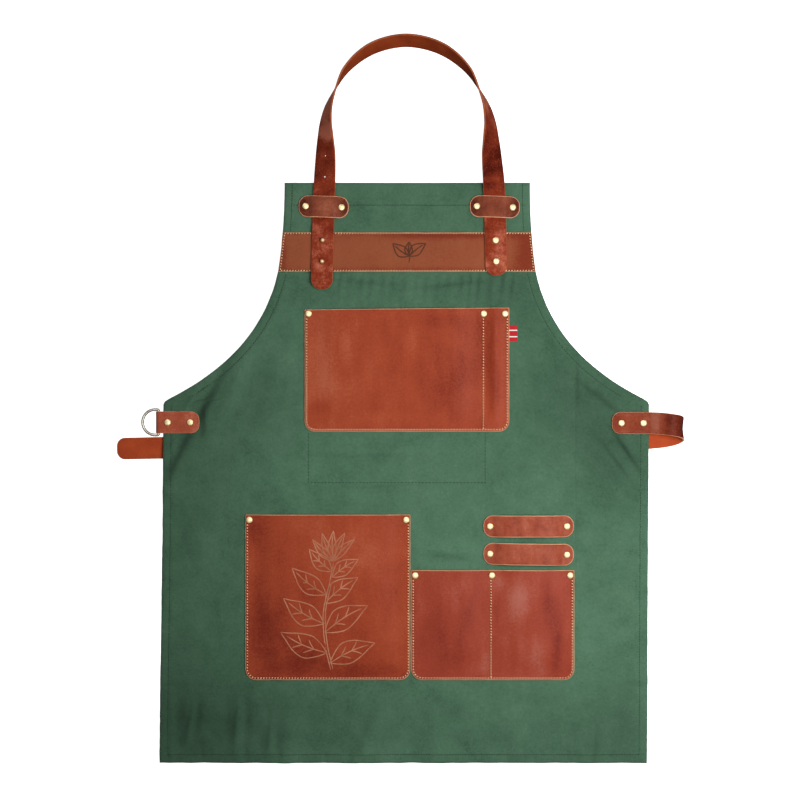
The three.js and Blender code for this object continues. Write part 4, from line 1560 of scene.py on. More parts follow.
    def half(self, y: float) -> float:
        """Half the canvas's width at a height.

        Args:
            y: Height above the waist.

        Returns:
            The half width.
        """
        if y >= self.band_bottom:
            down = (self.bib_top - y) / (self.bib_top - self.band_bottom)
            return mix(self.bib_half, self.band_half, max(down, 0.0) ** self.flare)
        if y >= self.corner_y:
            low, high = 0, len(self.armhole) - 1
            while high - low > 1:
                middle = (low + high) // 2
                low, high = (middle, high) if self.armhole[middle].y > y else (low, middle)
            a, b = self.armhole[low], self.armhole[high]
            return mix(a.x, b.x, (a.y - y) / max(a.y - b.y, 1e-6))
        below = (self.corner_y - y) / self.corner_drop
        if below < 1:
            return self.waist_half - self.corner_cut * (1 - below) ** 2
        return self.waist_half + self.skirt_flare * smooth(-y / self.drop)

    def centre(self, y: float) -> float:
        """Where the canvas's centre line lies at a height."""
        return y * (self.bib_lean if y > 0 else self.skirt_lean)

    def slant(self, y: float) -> float:
        """How much longer a hem's width is, measured across, where its edge slants."""
        change = (self.half(y + 1.5) - self.half(y - 1.5)) / 3
        return math.hypot(change, 1.0)

    def quiet(self, x: float, y: float, near: float, far: float) -> float:
        """From 0 beside leather that lies on the canvas to 1 in the open."""
        least = min(room.away(x, y) for room in self.rooms)
        return smooth((least - near) / (far - near))

    def lift(self, x: float, y: float) -> float:
        """Height of the canvas's under face at a place.

        Args:
            x: Place across.
            y: Place along.

        Returns:
            The height of the under face.
        """
        half = self.half(y)
        edge = half - abs(x - self.centre(y))
        lower = smooth((-y - self.settle_from) / (self.settle_to - self.settle_from))
        above = y + self.drop
        settled = max((1 - smooth(edge / self.settle)) * lower, 1 - smooth(above / self.settle))
        level = mix(STOCK.lie, STOCK.hem_fold, settled)
        if any(room.away(x, y) <= 0 for room in self.rooms):
            return level
        rise = sum(fold.rise(x, y) for fold in self.folds) * self.quiet(x, y, *self.fold_room)
        for swell in self.swells:
            wave = ripple(x * swell.stretch, y, swell.length, swell.seed) * swell.height
            rise += wave * self.quiet(x, y, swell.near, swell.far)
        rise += self.gathered(x, y)
        rise += self.pucker(x, y, edge, above)
        return max(level + rise, self.lowest(x, y, edge))

    def gathered(self, x: float, y: float) -> float:
        """Height of the upright gathers under the chest band.

        Args:
            x: Place across.
            y: Place along.

        Returns:
            The height in millimetres.
        """
        if not (self.pucker_from < x < self.pucker_to and y < self.band_bottom):
            return 0.0
        down = (self.band_bottom - y) / self.gather_reach
        strong = 0.5 + 0.5 * smooth((x - 60) / 40)
        wave = math.sin(x * 0.42 + down * 0.7 + ripple(x, 0, 30, 2) * 3)
        return wave * self.gather_height * strong * down * math.exp(1 - down)

    def lowest(self, x: float, y: float, edge: float) -> float:
        """The least height of the under face, which clears the waist strap.

        Args:
            x: Place across.
            y: Place along.
            edge: Distance from the side edge.

        Returns:
            The height in millimetres.
        """
        inside = self.strap_under - abs(y - self.strap_slope * x)
        if inside <= 0:
            return self.floor_gap
        hem = STOCK.hem_fold if edge < self.side_hem + 3 else 0.0
        return (STOCK.strap + self.strap_gap + hem) * smooth(inside / 5)

    def pucker(self, x: float, y: float, edge: float, above: float) -> float:
        """Height of the little gathers that the hem's seam pulls into the canvas.

        Args:
            x: Place across.
            y: Place along.
            edge: Distance from the side edge.
            above: Distance from the foot.

        Returns:
            The height in millimetres.
        """
        across = edge / max(self.slant(y), 1.0)
        gather = abs(ripple(y - abs(x) * 0.4, 0, 11.0, 11.0 if x > 0 else 17.0))
        rise = (0.4 - gather) * bell(across - self.side_seam, 7.0) * 3.4
        rise -= 0.7 * bell(across - self.side_seam, 2.2)
        rise += (0.4 - abs(ripple(x, 0, 12.0, 23.0))) * bell(above - self.foot_seam, 8.0) * 3.0
        head = bell(self.bib_top - y - self.top_seam, 6.0)
        return rise + ripple(x, 0, 8.0, 29.0) * head * 0.4

    def top(self, x: float, y: float) -> float:
        """Height of the canvas's upper face."""
        return self.lift(x, y) + STOCK.canvas

    def _levels(self) -> list[float]:
        """Heights of the rows of cells, close together at the hems.

        Returns:
            The heights from the foot up.
        """
        foot = [0.0, 0.8, 4.5, 8.5, self.side_hem, self.side_hem + 0.7]
        head = [0.0, 0.8, 5.0, 10.0, 15.0, 20.0, 26.0, self.top_hem, self.top_hem + 0.7]
        low = -self.drop + foot[-1]
        high = self.bib_top - head[-1]
        count = round((high - low) / self.cell)
        between = [mix(low, high, i / count) for i in range(1, count)]
        return [-self.drop + v for v in foot] + between + [self.bib_top - v for v in reversed(head)]

    def _stations(self) -> tuple[list[float], int]:
        """Distances of the edge columns from the edge, and the number of columns between."""
        columns = round(2 * self.waist_half / self.cell)
        return [0.0, 0.8, 4.5, 8.5, self.side_hem, self.side_hem + 0.7], columns

    def build(self) -> bpy.types.Object:
        """Cut the canvas, turn its hems and lay it down.

        Returns:
            The canvas.
        """
        levels = self._levels()
        edges, columns = self._stations()
        across = 2 * (len(edges) - 1) + columns
        bm = bmesh.new()
        bm.loops.layers.uv.new(PATTERN)
        bmesh.ops.create_grid(bm, x_segments=across, y_segments=len(levels) - 1, size=1)
        hemmed = {}
        for vert in bm.verts:
            row = round((vert.co.y + 1) / 2 * (len(levels) - 1))
            column = round((vert.co.x + 1) / 2 * across)
            y = levels[row]
            x, inside = self._across(y, column, across, edges)
            waver = ripple(y * 0.9, 5.0 if x > 0 else 9.0, 16) * 0.55 if inside < 14 else 0.0
            low = ripple(x, 3.0, 18) * 0.5 if y < -self.drop + 14 else 0.0
            vert.co = Vector((x + math.copysign(waver, x), y + low, 0))
            rim = min(inside, y + self.drop, self.bib_top - y)
            hem = inside < self.side_hem + 0.3 or y < self.side_hem + 0.3 - self.drop
            hemmed[vert] = (rim, hem or y > self.bib_top - self.top_hem - 0.3)
        self._thicken(bm, hemmed)
        piece = deliver("canvas_sheet", bm, (CLOTH,), "canvas", ("apron_body",), sharp=180)
        area = sum(2 * self.half(y) * (b - a) for a, b in zip(levels, levels[1:]) for y in [(a + b) / 2])
        area * MM * MM
        return piece

    def _across(
        self, y: float, column: int, across: int, edges: list[float]
    ) -> tuple[float, float]:
        """Place of a column at a height, and its distance from the nearer edge.

        Args:
            y: The row's height.
            column: The column's number.
            across: How many columns there are.
            edges: The row's two ends.

        Returns:
            The place and the distance.
        """
        half, slant = self.half(y), self.slant(y)
        last = len(edges) - 1
        inner = half - edges[-1] * slant
        nearer = min(column, across - column)
        if nearer <= last:
            inside = edges[nearer]
            out = half - inside * slant
        else:
            share = (nearer - last) / (across - 2 * last)
            out = inner * (1 - 2 * share)
            inside = edges[-1] + (inner - out)
        hand = -1 if column <= across / 2 else 1
        return self.centre(y) + hand * out, inside

    def _thicken(self, bm: BMesh, hemmed: dict[BMVert, tuple[float, bool]]) -> None:
        """Give the laid-out cloth its two faces, its hems doubled to the back.

        Args:
            bm: The cloth as one layer.
            hemmed: The faces that lie in a hem.
        """
        uv = bm.loops.layers.uv[PATTERN]
        for face in bm.faces:
            for loop in face.loops:
                loop[uv].uv = (loop.vert.co.x * MM, loop.vert.co.y * MM)
        places = {
            (round(v.co.x, 3), round(v.co.y, 3)): (*h, self.lift(v.co.x, v.co.y))
            for v, h in hemmed.items()
        }
        made = bmesh.ops.extrude_face_region(bm, geom=bm.faces[:])
        raised = {g for g in made["geom"] if isinstance(g, BMVert)}
        for vert in bm.verts:
            rim, hem, lift = places[(round(vert.co.x, 3), round(vert.co.y, 3))]
            fall = 0.75 if rim < 0.1 else (0.15 if rim < 1 else 0.0)
            if vert in raised:
                vert.co.z = lift + STOCK.canvas - fall
            else:
                under = STOCK.hem_fold if hem else 0.0
                vert.co.z = max(lift - under, 0.0) + fall * 0.7
        bmesh.ops.recalc_face_normals(bm, faces=bm.faces)

    def outline(self, inset: float, low: float, high: float, hand: int) -> list[Vector]:
        """A line along a side edge, at a distance inside it.

        Args:
            inset: The distance from the edge.
            low: The lowest height.
            high: The highest height.
            hand: -1 for the left edge or 1 for the right one.

        Returns:
            The line's points.
        """
        count = max(round((high - low) / 4), 1)
        ys = [mix(low, high, i / count) for i in range(count + 1)]
        return [
            Vector((self.centre(y) + hand * (self.half(y) - inset * self.slant(y)), y, 0))
            for y in ys
        ]

    def sew(self) -> bpy.types.Object:
        """Sew the hems and the outline of the pocket behind the canvas.

        Returns:
            The green stitches.
        """
        sewn = Stitching("canvas_stitching", GREEN_THREAD, 2.6, 1.15)
        sides = (
            (self.side_seam, -self.drop + 11, 52),
            (11.5, 64, self.band_bottom - 3),
            (10.5, 292, self.bib_top - 2),
        )
        for hand in (-1, 1):
            for inset, low, high in sides:
                sewn.row(self.outline(inset, low, high, hand), self.hem_pitch, self.top, 0)
        foot = -self.drop + self.foot_seam
        half = self.half(foot) - self.side_seam
        middle = self.centre(foot)
        head = self.bib_top - self.top_seam
        level = [(middle - half, middle + half, foot)]
        level += [(left, right, head) for left, right in ((-156, -148), (-92, 95), (158, 165))]
        for left, right, y in level:
            sewn.row([Vector((left, y, 0)), Vector((right, y, 0))], self.hem_pitch, self.top, 0)
        pocket = [(-134.5, 15), (-134.5, -54.5), (109, -54.5), (109, 15)]
        sewn.row([Vector((x, y, 0)) for x, y in pocket], self.pocket_pitch, self.top, 0)
        return sewn.build("canvas")


# Leather pieces


@dataclass
class PocketLook:
    """How one pocket's leather looks and stands."""

    node: str
    grain: Leather
    dividers: tuple[float, ...] = ()
    tilt: float = 0.0
    corner: float = 14.0
    seam: float = 10.5
    divider_seam: float = 5.8
    ramp: float = 18.0
    full: float = 0.7
    inset: float = 2.7
    pitch: float = 3.92
    slant: float = 42.0


@dataclass
class Pocket:
    """A leather pocket: sewn down at its sides and foot, standing off at its mouth."""

    look: PocketLook
    room: Room = field(init=False)

    def __post_init__(self) -> None:
        """Read the pocket's room and its seams."""
        self.room = Room.of(self.look.node)
        self.gape = (self.room.high - self.room.low - STOCK.panel) / 1.12
        width = self.room.right - self.room.left
        self.seams = [self.room.left, *(self.room.left + d * width for d in self.look.dividers)]
        self.seams.append(self.room.right)

    def rise(self, x: float, y: float) -> float:
        """How far the leather stands off the canvas at a place.

        Args:
            x: Place across.
            y: Place along.

        Returns:
            The height above the canvas.
        """
        look = self.look
        across = 0.0
        for i, (left, right) in enumerate(zip(self.seams, self.seams[1:])):
            start = left + (look.seam if i == 0 else look.divider_seam)
            stop = right - (look.seam if i + 2 == len(self.seams) else look.divider_seam)
            if start < x < stop:
                ramp = min(look.ramp * 2, (stop - start) * 0.45)
                belly = math.sin(math.pi * (x - start) / (stop - start)) * 0.1
                across = smooth((x - start) / ramp) * smooth((stop - x) / ramp) * (0.96 + belly)
        upward = smooth((y - self.room.bottom - look.seam * 0.5) / (look.ramp * 2.2))
        return self.gape * look.full * across * upward * (1 + ripple(x, y, 60, 5.2) * 0.25)

    def top(self, x: float, y: float) -> float:
        """Height of the pocket's face."""
        return STOCK.panel_top + self.rise(x, y)

    def _laid(self, flat: Vector) -> Vector:
        """Where a point of the flat pocket goes.

        Args:
            flat: The point in the flat piece.

        Returns:
            Its place on the canvas.
        """
        rise = self.rise(flat.x, min(flat.y, self.room.top))
        uneven = ripple(flat.x, flat.y, 48, 1.3) * 0.3 * min(rise / 2, 1.0)
        return Vector((flat.x, flat.y, STOCK.panel_base + flat.z + rise + uneven))

    def build(self) -> bpy.types.Object:
        """Cut the pocket and lay it on the canvas.

        Returns:
            The pocket.
        """
        room, tilt = self.room, self.look.tilt
        corners = [
            (room.left, room.bottom), (room.right, room.bottom),
            (room.right, room.top + tilt), (room.left, room.top - tilt),
        ]
        blank = Blank(corners)
        blank.round(self.look.corner, lambda co: co.y < room.bottom + 1)
        blank.round(1.2, lambda co: co.y > room.top - 3)
        blank.border(0.75).rule(4.2).thicken(STOCK.panel, 0.3)
        bm = blank.lay(self._laid)
        name = f"{self.look.node}_leather"
        return deliver(name, bm, (self.look.grain, EDGE, FLESH), "panel_leather", (self.look.node,))

    def sew(self) -> bpy.types.Object:
        """Sew the pocket's sides, foot and dividers.

        Returns:
            The pocket's stitches.
        """
        room, look = self.room, self.look
        inset, radius = look.inset, look.corner - look.inset
        left, right = room.left + inset, room.right - inset
        start = room.top - 12.5
        low = room.bottom + inset
        line = [Vector((left, start, 0))]
        for middle, begin in ((left + radius, 180), (right - radius, 270)):
            for k in range(9):
                angle = math.radians(begin + 90 * k / 8)
                line.append(Vector((
                    middle + radius * math.cos(angle), low + radius + radius * math.sin(angle), 0
                )))
        line.append(Vector((right, start, 0)))
        sewn = Stitching(f"{look.node}_stitching", CREAM_THREAD, 2.6, 1.75, True)
        sewn.row(line, look.pitch, self.top, look.slant)
        for seam in self.seams[1:-1]:
            sewn.row([Vector((seam, start, 0)), Vector((seam, low, 0))], look.pitch, self.top, look.slant)
        return sewn.build("panel_leather")


@dataclass
class ChestBand:
    """The leather band across the bib, sewn down all round."""

    canvas: CanvasBody
    inset: float = 1.5
    pitch: float = 3.87

    def __post_init__(self) -> None:
        """Read the band's room."""
        self.room = Room.of("chest_band")

    def _end(self, y: float, hand: int, inset: float = 0.3) -> float:
        """Place of the band's end at a height."""
        return self.canvas.centre(y) + hand * (self.canvas.half(y) - inset)

    def build(self) -> bpy.types.Object:
        """Cut the band to the canvas's edges.

        Returns:
            The band.
        """
        low, high = self.room.bottom, self.room.top
        middle = (low + high) / 2
        corners = [
            (self._end(low, -1), low), (self._end(low, 1), low), (self._end(middle, 1), middle),
            (self._end(high, 1), high), (self._end(high, -1), high), (self._end(middle, -1), middle),
        ]
        blank = Blank(corners).border(0.9).rule(4.5).thicken(STOCK.panel, 0.5)

        def laid(flat: Vector) -> Vector:
            """Where a point of the flat band goes.

            Args:
                flat: The point in the flat piece.

            Returns:
                Its place on the canvas.
            """
            sag = ripple(flat.x, flat.y, 60, 4.4) * 0.12
            edge = min(flat.y - low, high - flat.y)
            return Vector((flat.x, flat.y, STOCK.panel_base + flat.z + max(sag, 0) * smooth(edge / 12)))

        bm = blank.lay(laid)
        finishes = (BAND, EDGE, FLESH)
        return deliver("chest_band_leather", bm, finishes, "panel_leather", ("chest_band",))

    def sew(self) -> bpy.types.Object:
        """Sew the band all round.

        Returns:
            The band's stitches.
        """
        low, high = self.room.bottom + self.inset, self.room.top - self.inset
        inset = self.inset + 1.4
        loop = [(self._end(y, hand, inset), y) for y, hand in ((low, -1), (low, 1), (high, 1), (high, -1))]
        line = [Vector((x, y, 0)) for x, y in [*loop, loop[0]]]
        sewn = Stitching("chest_band_stitching", CREAM_THREAD, 2.5, 1.5, True)
        sewn.row(line, self.pitch, lambda x, y: STOCK.panel_top, 34)
        return sewn.build("panel_leather")


class Drawing:
    """Thin lines scorched into leather, kept as one piece."""

    def __init__(
        self, name: str, finish: Finish, width: float, height: Callable[[float, float], float]
    ) -> None:
        """Take up the tool.

        Args:
            name: The piece's name.
            finish: The lines' finish.
            width: The lines' width.
            height: The leather's height at a place.
        """
        self.name = name
        self.finish = finish
        self.width = width
        self.height = height
        self.bm = bmesh.new()
        self.lines = 0

    def line(self, points: Sequence[tuple[float, float]], steps: int = 8) -> None:
        """Draw a smooth line through points, its two ends tapered.

        Args:
            points: Places on the line.
            steps: Pieces between two places.
        """
        curve = spline([Vector((x, y, self.lines % 7 * 0.02)) for x, y in points], steps)
        self.lines += 1
        edge = None
        for i, point in enumerate(curve):
            along = (curve[min(i + 1, len(curve) - 1)] - curve[max(i - 1, 0)]).normalized()
            taper = min(1.0, 0.35 + min(i, len(curve) - 1 - i) / 4)
            side = Vector((-along.y, along.x, 0)) * self.width / 2 * taper
            ends = (point + side, point - side)
            if edge is None:
                verts = [self.bm.verts.new(end) for end in ends]
                edge = self.bm.edges.new(verts)
            else:
                made = bmesh.ops.extrude_edge_only(self.bm, edges=[edge])
                edge = next(g for g in made["geom"] if isinstance(g, BMEdge))
                verts = [g for g in made["geom"] if isinstance(g, BMVert)]
                near = sorted(verts, key=lambda v: (v.co - ends[0]).length)
                near[0].co, near[1].co = ends

    def build(self, slot: str) -> bpy.types.Object:
        """Lay the lines on the leather.

        Args:
            slot: The record's slot for the piece.

        Returns:
            The drawing.
        """
        made = bmesh.ops.extrude_face_region(self.bm, geom=self.bm.faces[:])
        raised = {g for g in made["geom"] if isinstance(g, BMVert)}
        for vert in self.bm.verts:
            proud = 0.1 + vert.co.z if vert in raised else -0.1
            vert.co.z = self.height(vert.co.x, vert.co.y) + proud
        bmesh.ops.recalc_face_normals(self.bm, faces=self.bm.faces)
        return deliver(self.name, self.bm, (self.finish,), slot)


def leaf(base: Vector, turn: float, length: float, belly: float) -> list[list[tuple[float, float]]]:
    """The lines of a pointed leaf: its two sides, its midrib and two pairs of veins.

    Args:
        base: Where its stalk joins.
        turn: Its direction in degrees.
        length: Its length.
        belly: Half of its width.

    Returns:
        The lines, each as points.
    """
    ahead = Vector((math.cos(math.radians(turn)), math.sin(math.radians(turn))))
    aside = Vector((-ahead.y, ahead.x))

    def at(run: float, off: float) -> tuple[float, float]:
        """A point of the leaf, a share along it and a share out to its belly.

        Args:
            run: Share of the leaf's length.
            off: Share of its half width.

        Returns:
            The place.
        """
        bend = math.sin(math.pi * run) * length * 0.05
        point = base.to_2d() + ahead * length * run + aside * (belly * off + bend)
        return point.x, point.y

    profile = [(0, 0), (0.16, 0.55), (0.38, 1.0), (0.62, 0.82), (0.84, 0.34), (1, 0)]
    lines = [[at(run, off * hand) for run, off in profile] for hand in (-1, 1)]
    lines.append([at(0.02, 0), at(0.3, 0), at(0.6, 0), at(0.86, 0)])
    for run in (0.26, 0.5):
        lines += [[at(run, 0), at(run + 0.1, 0.32 * hand), at(run + 0.17, 0.62 * hand)] for hand in (-1, 1)]
    return lines


@dataclass
class Artwork:
    """The plain plant drawings: a tall sprig on the large pocket, a small one on the band."""

    pocket: Pocket
    band: ChestBand

    def sprig(self) -> bpy.types.Object:
        """Draw a sprig with pairs of leaves and a seed head on the large pocket.

        Returns:
            The drawing on the pocket.
        """
        drawing = Drawing("pocket_line_drawing", LINE, 1.5, self.pocket.top)
        middle = self.pocket.room.middle
        ox, oy = middle.x - 6, middle.y - 2
        stem = [(10, -98), (2, -60), (0, -18), (8, 20), (14, 50)]
        drawing.line([(ox + x, oy + y) for x, y in stem], 12)
        drawing.line([(ox + x + 3, oy + y + 1) for x, y in stem[:4]], 12)
        leaves = (
            (9, -88, 24, 68, 15), (5, -74, 156, 70, 16), (2, -46, 32, 70, 15.5),
            (1, -34, 148, 66, 15), (2, -6, 38, 58, 13), (4, 6, 142, 60, 13),
            (12, 30, 34, 44, 10), (12, 38, 136, 44, 10),
        )
        for x, y, turn, length, belly in leaves:
            for line in leaf(Vector((ox + x, oy + y, 0)), turn, length, belly):
                drawing.line(line, 6)
        for turn in (46, 68, 90, 112, 134):
            for line in leaf(Vector((ox + 14, oy + 52, 0)), turn, 42, 5.5)[:3]:
                drawing.line(line, 6)
        return drawing.build("panel_leather")

    def mark(self) -> bpy.types.Object:
        """Press two leaves on a short stalk into the middle of the band.

        Returns:
            The mark on the band.
        """
        drawing = Drawing("band_leaf_mark", MARK, 1.7, lambda x, y: STOCK.panel_top)
        ox, oy = 4.5, self.band.room.middle.y
        drawing.line([(ox - 0.5, oy - 15), (ox + 0.5, oy - 8), (ox, oy - 2)], 6)
        for turn, length in ((38, 29), (90, 20), (142, 29)):
            for line in leaf(Vector((ox, oy - 6, 0)), turn, length, length * 0.26)[:3]:
                drawing.line(line, 6)
        return drawing.build("panel_leather")


@dataclass
class CrossBands:
    """The bands across: two tool loops and the two keepers of the neck strap."""

    width: float = STOCK.strap_width
    loop_length: float = 124.5
    loop_rivet: float = 9.35
    loop_bow: tuple[tuple[float, float], ...] = ((1, 0), (0.82, 0.55), (0.62, 0.9), (0, 1))
    keeper_half: float = 34.5
    keeper_foot: float = 20.25
    keeper_bridge: float = 16.4

    def _strip(self, node: str, profile: list[tuple[float, float]], turn: float, grain: Leather) -> None:
        """Lay one band from its profile of distance from its middle and height.

        Args:
            node: The CAD node that it stands for.
            profile: Distances from its middle with heights.
            turn: Degrees about Z.
            grain: Its leather.
        """
        middle = Room.of(node).middle
        matrix = Matrix.Translation(middle) @ Matrix.Rotation(math.radians(turn), 4, "Z")
        points = [matrix @ Vector((out, 0, z)) for out, z in profile]
        side = matrix.to_3x3() @ Vector((0, -1, 0))
        run = Run(points, [side] * len(points), STOCK.panel, 0, passes=4)
        Strip(
            f"{node}_leather", run, grain, "panel_leather", (node,), self.width,
            end_round=13.2, shift=(middle.x * 1.7, middle.y * 2.3), cell=2.6,
        ).build()

    def tool_loop(self, node: str, turn: float, grain: Leather) -> None:
        """Lay a tool loop, bowed off the canvas between its rivets.

        Args:
            node: The CAD node that it stands for.
            turn: Degrees about Z.
            grain: Its leather.
        """
        room = Room.of(node)
        low = STOCK.panel_base + STOCK.panel / 2
        bow = room.high - STOCK.panel_top
        foot = self.loop_length / 2 - self.loop_rivet - 4.8
        east = [Vector((foot * out, 0, low + bow * rise)) for out, rise in reversed(self.loop_bow)]
        west = [Vector((-p.x, 0, p.z)) for p in reversed(east[1:])]
        curve = [(p.x, p.z) for p in spline([*west, *east], 6)]
        ends = self.loop_length / 2
        self._strip(node, [(-ends, low), *curve, (ends, low)], turn, grain)

    def keeper(self, node: str, turn: float) -> None:
        """Lay a keeper over its neck leg.

        Args:
            node: The CAD node that it stands for.
            turn: Degrees about Z.
        """
        low = STOCK.panel_base + STOCK.panel / 2
        high = STOCK.strap_on_canvas + STOCK.strap / 2 + STOCK.gap + STOCK.panel / 2 + 0.25
        outs = [self.keeper_half, self.keeper_foot, self.keeper_bridge, 12.0]
        heights = [low, low, high, high + 0.5]
        west = [(-out, z) for out, z in zip(outs, heights)]
        east = [(out, z) for out, z in zip(outs, heights)]
        self._strip(node, [*west, *reversed(east)], turn, KEEPER_HIDE)


@dataclass
class NeckStrap:
    """The neck strap: two legs held by keepers and a loop standing on its edge above the bib."""

    centre: float = 4.4
    drift: float = 4.0
    edge: float = 132.0
    lean: float = 0.024
    top: float = 358.6
    rise: float = 188.4
    band_top: float = 290.0
    keeper_y: float = 325.2
    left_tail: float = 211.5
    right_tail: float = 230.5
    first_hole: float = 249.8
    pitch: float = 29.0
    holes: int = 6
    hole: float = 1.15
    slit: float = 5.0
    loop: tuple[tuple[float, float, float, float], ...] = (
        (1, 0, 0, 1), (0.991, 0.03, 10, 1.06), (0.976, 0.144, 20, 0.5), (0.963, 0.232, 28, 0.22),
        (0.945, 0.32, 42, 0.06), (0.916, 0.437, 57, 0), (0.862, 0.555, 69, 0),
        (0.766, 0.672, 83, 0), (0.648, 0.79, 97, 0), (0.509, 0.878, 105, 0),
        (0.373, 0.937, 110, 0), (0.258, 0.969, 112, 0), (0.13, 0.991, 113, 0),
    )
    crown: tuple[float, float, float, float] = (0, 1, 113, 0)

    def leg_x(self, hand: int, y: float) -> float:
        """Middle of a leg at a height, on the left (-1) or the right (1)."""
        return self.centre + hand * (self.edge + self.lean * (self.top - y) - STOCK.strap_half)

    def _leg(self, hand: int, tail: float) -> tuple[list[Vector], list[Vector]]:
        """A leg's places and directions across, from its tail up through its keeper.

        Args:
            hand: -1 for the left leg and 1 for the right one.
            tail: How far the leg reaches below its lower fastener.

        Returns:
            The places and the directions.
        """
        heights = [
            (tail, STOCK.strap_on_band), (self.band_top, STOCK.strap_on_band),
            (self.band_top + 11, STOCK.strap_on_canvas + 0.3),
            (self.keeper_y - 13, STOCK.strap_on_canvas), (self.keeper_y + 13, STOCK.strap_on_canvas),
        ]
        points = [Vector((self.leg_x(hand, y), y, z)) for y, z in heights]
        return points, [Vector((-hand, 0, 0))] * len(points)

    def _loop(self) -> tuple[list[Vector], list[Vector]]:
        """The loop's places and directions across, from the left leg to the right one.

        Returns:
            The places and the directions.
        """
        rows = [(-1, *row) for row in self.loop] + [(1, *self.crown)]
        rows += [(1, *row) for row in reversed(self.loop)]
        start = self.keeper_y + STOCK.strap_half + 2 * STOCK.gap
        outer = []
        for hand, out, up, tilt, lift in rows:
            low = STOCK.strap / 2 * abs(math.cos(math.radians(tilt)))
            y = start if up == 0 else self.top + up * self.rise
            x = self.centre - self.drift * up + hand * out * self.edge
            outer.append(Vector((x, y, mix(low, STOCK.strap_on_canvas, lift))))
        steps = 8
        line = spline(outer, steps)
        points, sides = [], []
        for i in range(2, len(line) - 2):
            low = min(i // steps, len(rows) - 2)
            tilt = math.radians(mix(rows[low][3], rows[low + 1][3], i / steps - low))
            along = (line[i + 1] - line[i - 1]).to_2d().normalized()
            inwards = Vector((along.y, -along.x, 0))
            side = inwards * math.cos(tilt) + Vector((0, 0, math.sin(tilt)))
            points.append(line[i] + side * STOCK.strap_half)
            sides.append(side)
        return points, sides

    def _keyholes(self, run: Run) -> BMesh:
        """Solids in the shape of the keyholes, in the flat strap.

        Args:
            run: The strap's line.

        Returns:
            The closed solids.
        """
        cutter = bmesh.new()
        for k in range(self.holes):
            y = self.first_hole + k * self.pitch
            place = Matrix.Translation((run.run_at(lambda p: p.y > y), 0, -2))
            ring = bmesh.ops.create_circle(
                cutter, cap_ends=True, segments=18, radius=self.hole,
                matrix=place @ Matrix.Rotation(math.radians(10), 4, "Z"),
            )["verts"]
            ahead = sorted(ring, key=lambda v: -v.co.x)[:2]
            edge = cutter.edges.get(ahead)
            slit = bmesh.ops.extrude_edge_only(cutter, edges=[edge])["geom"]
            ends = [g for g in slit if isinstance(g, BMVert)]
            bmesh.ops.translate(cutter, vec=(self.slit, 0, 0), verts=ends)
        raised = bmesh.ops.extrude_face_region(cutter, geom=cutter.faces[:])["geom"]
        raised = [g for g in raised if isinstance(g, BMVert)]
        bmesh.ops.translate(cutter, vec=(0, 0, 8), verts=raised)
        bmesh.ops.recalc_face_normals(cutter, faces=cutter.faces)
        return cutter

    def build(self) -> None:
        """Lay the strap from its left tail over the crown to its right tail."""
        left, left_sides = self._leg(-1, self.left_tail)
        loop, loop_sides = self._loop()
        right, right_sides = self._leg(1, self.right_tail)
        points = [*left, *loop, *reversed(right)]
        sides = [*left_sides, *loop_sides, *reversed(right_sides)]
        run = Run(points, sides, STOCK.strap, STOCK.strap_half, passes=6)
        Strip(
            "neck_strap_leather", run, NECK_HIDE, "strap_leather", ("neck_strap",),
            end_round=13.5, border=0.45, shift=(900, 400), cell=3.6, flesh=NECK_FLESH, edge=NECK_EDGE,
        ).build(self._keyholes(run))


@dataclass
class WaistStrap:
    """The waist strap: riveted at the right, turned back and laid under the apron."""

    edge: float = 334.5
    start: float = 283.5
    y: float = 27.62
    slope: float = 0.0198
    reach: float = 45.0
    height: float = 21.0
    hem: float = 13.0
    tail: float = -398.5
    over: tuple[tuple[float, float, float], ...] = ((0.35, 0.62, 0.03), (0.7, 1, 0.12))
    back: tuple[tuple[float, float, float], ...] = (
        (0.94, 0.72, 0.24), (1, 0.4, 0.41), (0.944, 0.14, 0.58), (0.785, 0.02, 0.74),
        (0.48, 0, 0.89), (0.2, 0, 0.96),
    )

    def build(self) -> None:
        """Lay the strap from its riveted end round to its free end."""
        on_floor = STOCK.strap / 2
        low_y = self.slope * self.edge
        drift = self.y - low_y

        def leg(rows: Sequence[tuple[float, float, float]], low: float) -> list[Vector]:
            """Places of one part of the turn.

            Args:
                rows: Shares of the turn's reach, height and drift.
                low: Height of its lower end.

            Returns:
                The places.
            """
            return [
                Vector((self.edge + out * self.reach, self.y - back * drift, mix(low, self.height, up)))
                for out, up, back in rows
            ]

        turn = spline([
            Vector((self.edge, self.y, STOCK.strap_on_canvas)), *leg(self.over, STOCK.strap_on_canvas),
            *leg(self.back, on_floor), Vector((self.edge, low_y, on_floor)),
        ], 8)
        inner = self.edge - self.hem
        points = [
            Vector((self.start, self.y, STOCK.strap_on_canvas)), *turn,
            Vector((inner, self.slope * inner, on_floor)),
            Vector((self.tail, self.slope * self.tail, on_floor)),
        ]
        sides = [Vector((0, -1, 0))] * len(points)
        run = Run(points, sides, STOCK.strap, STOCK.strap_width / 2, passes=4)
        Strip(
            "waist_strap_leather", run, WAIST_HIDE, "strap_leather", ("waist_strap",),
            end_round=11.5, border=0.45, shift=(300, 1500), cell=3.8,
        ).build()


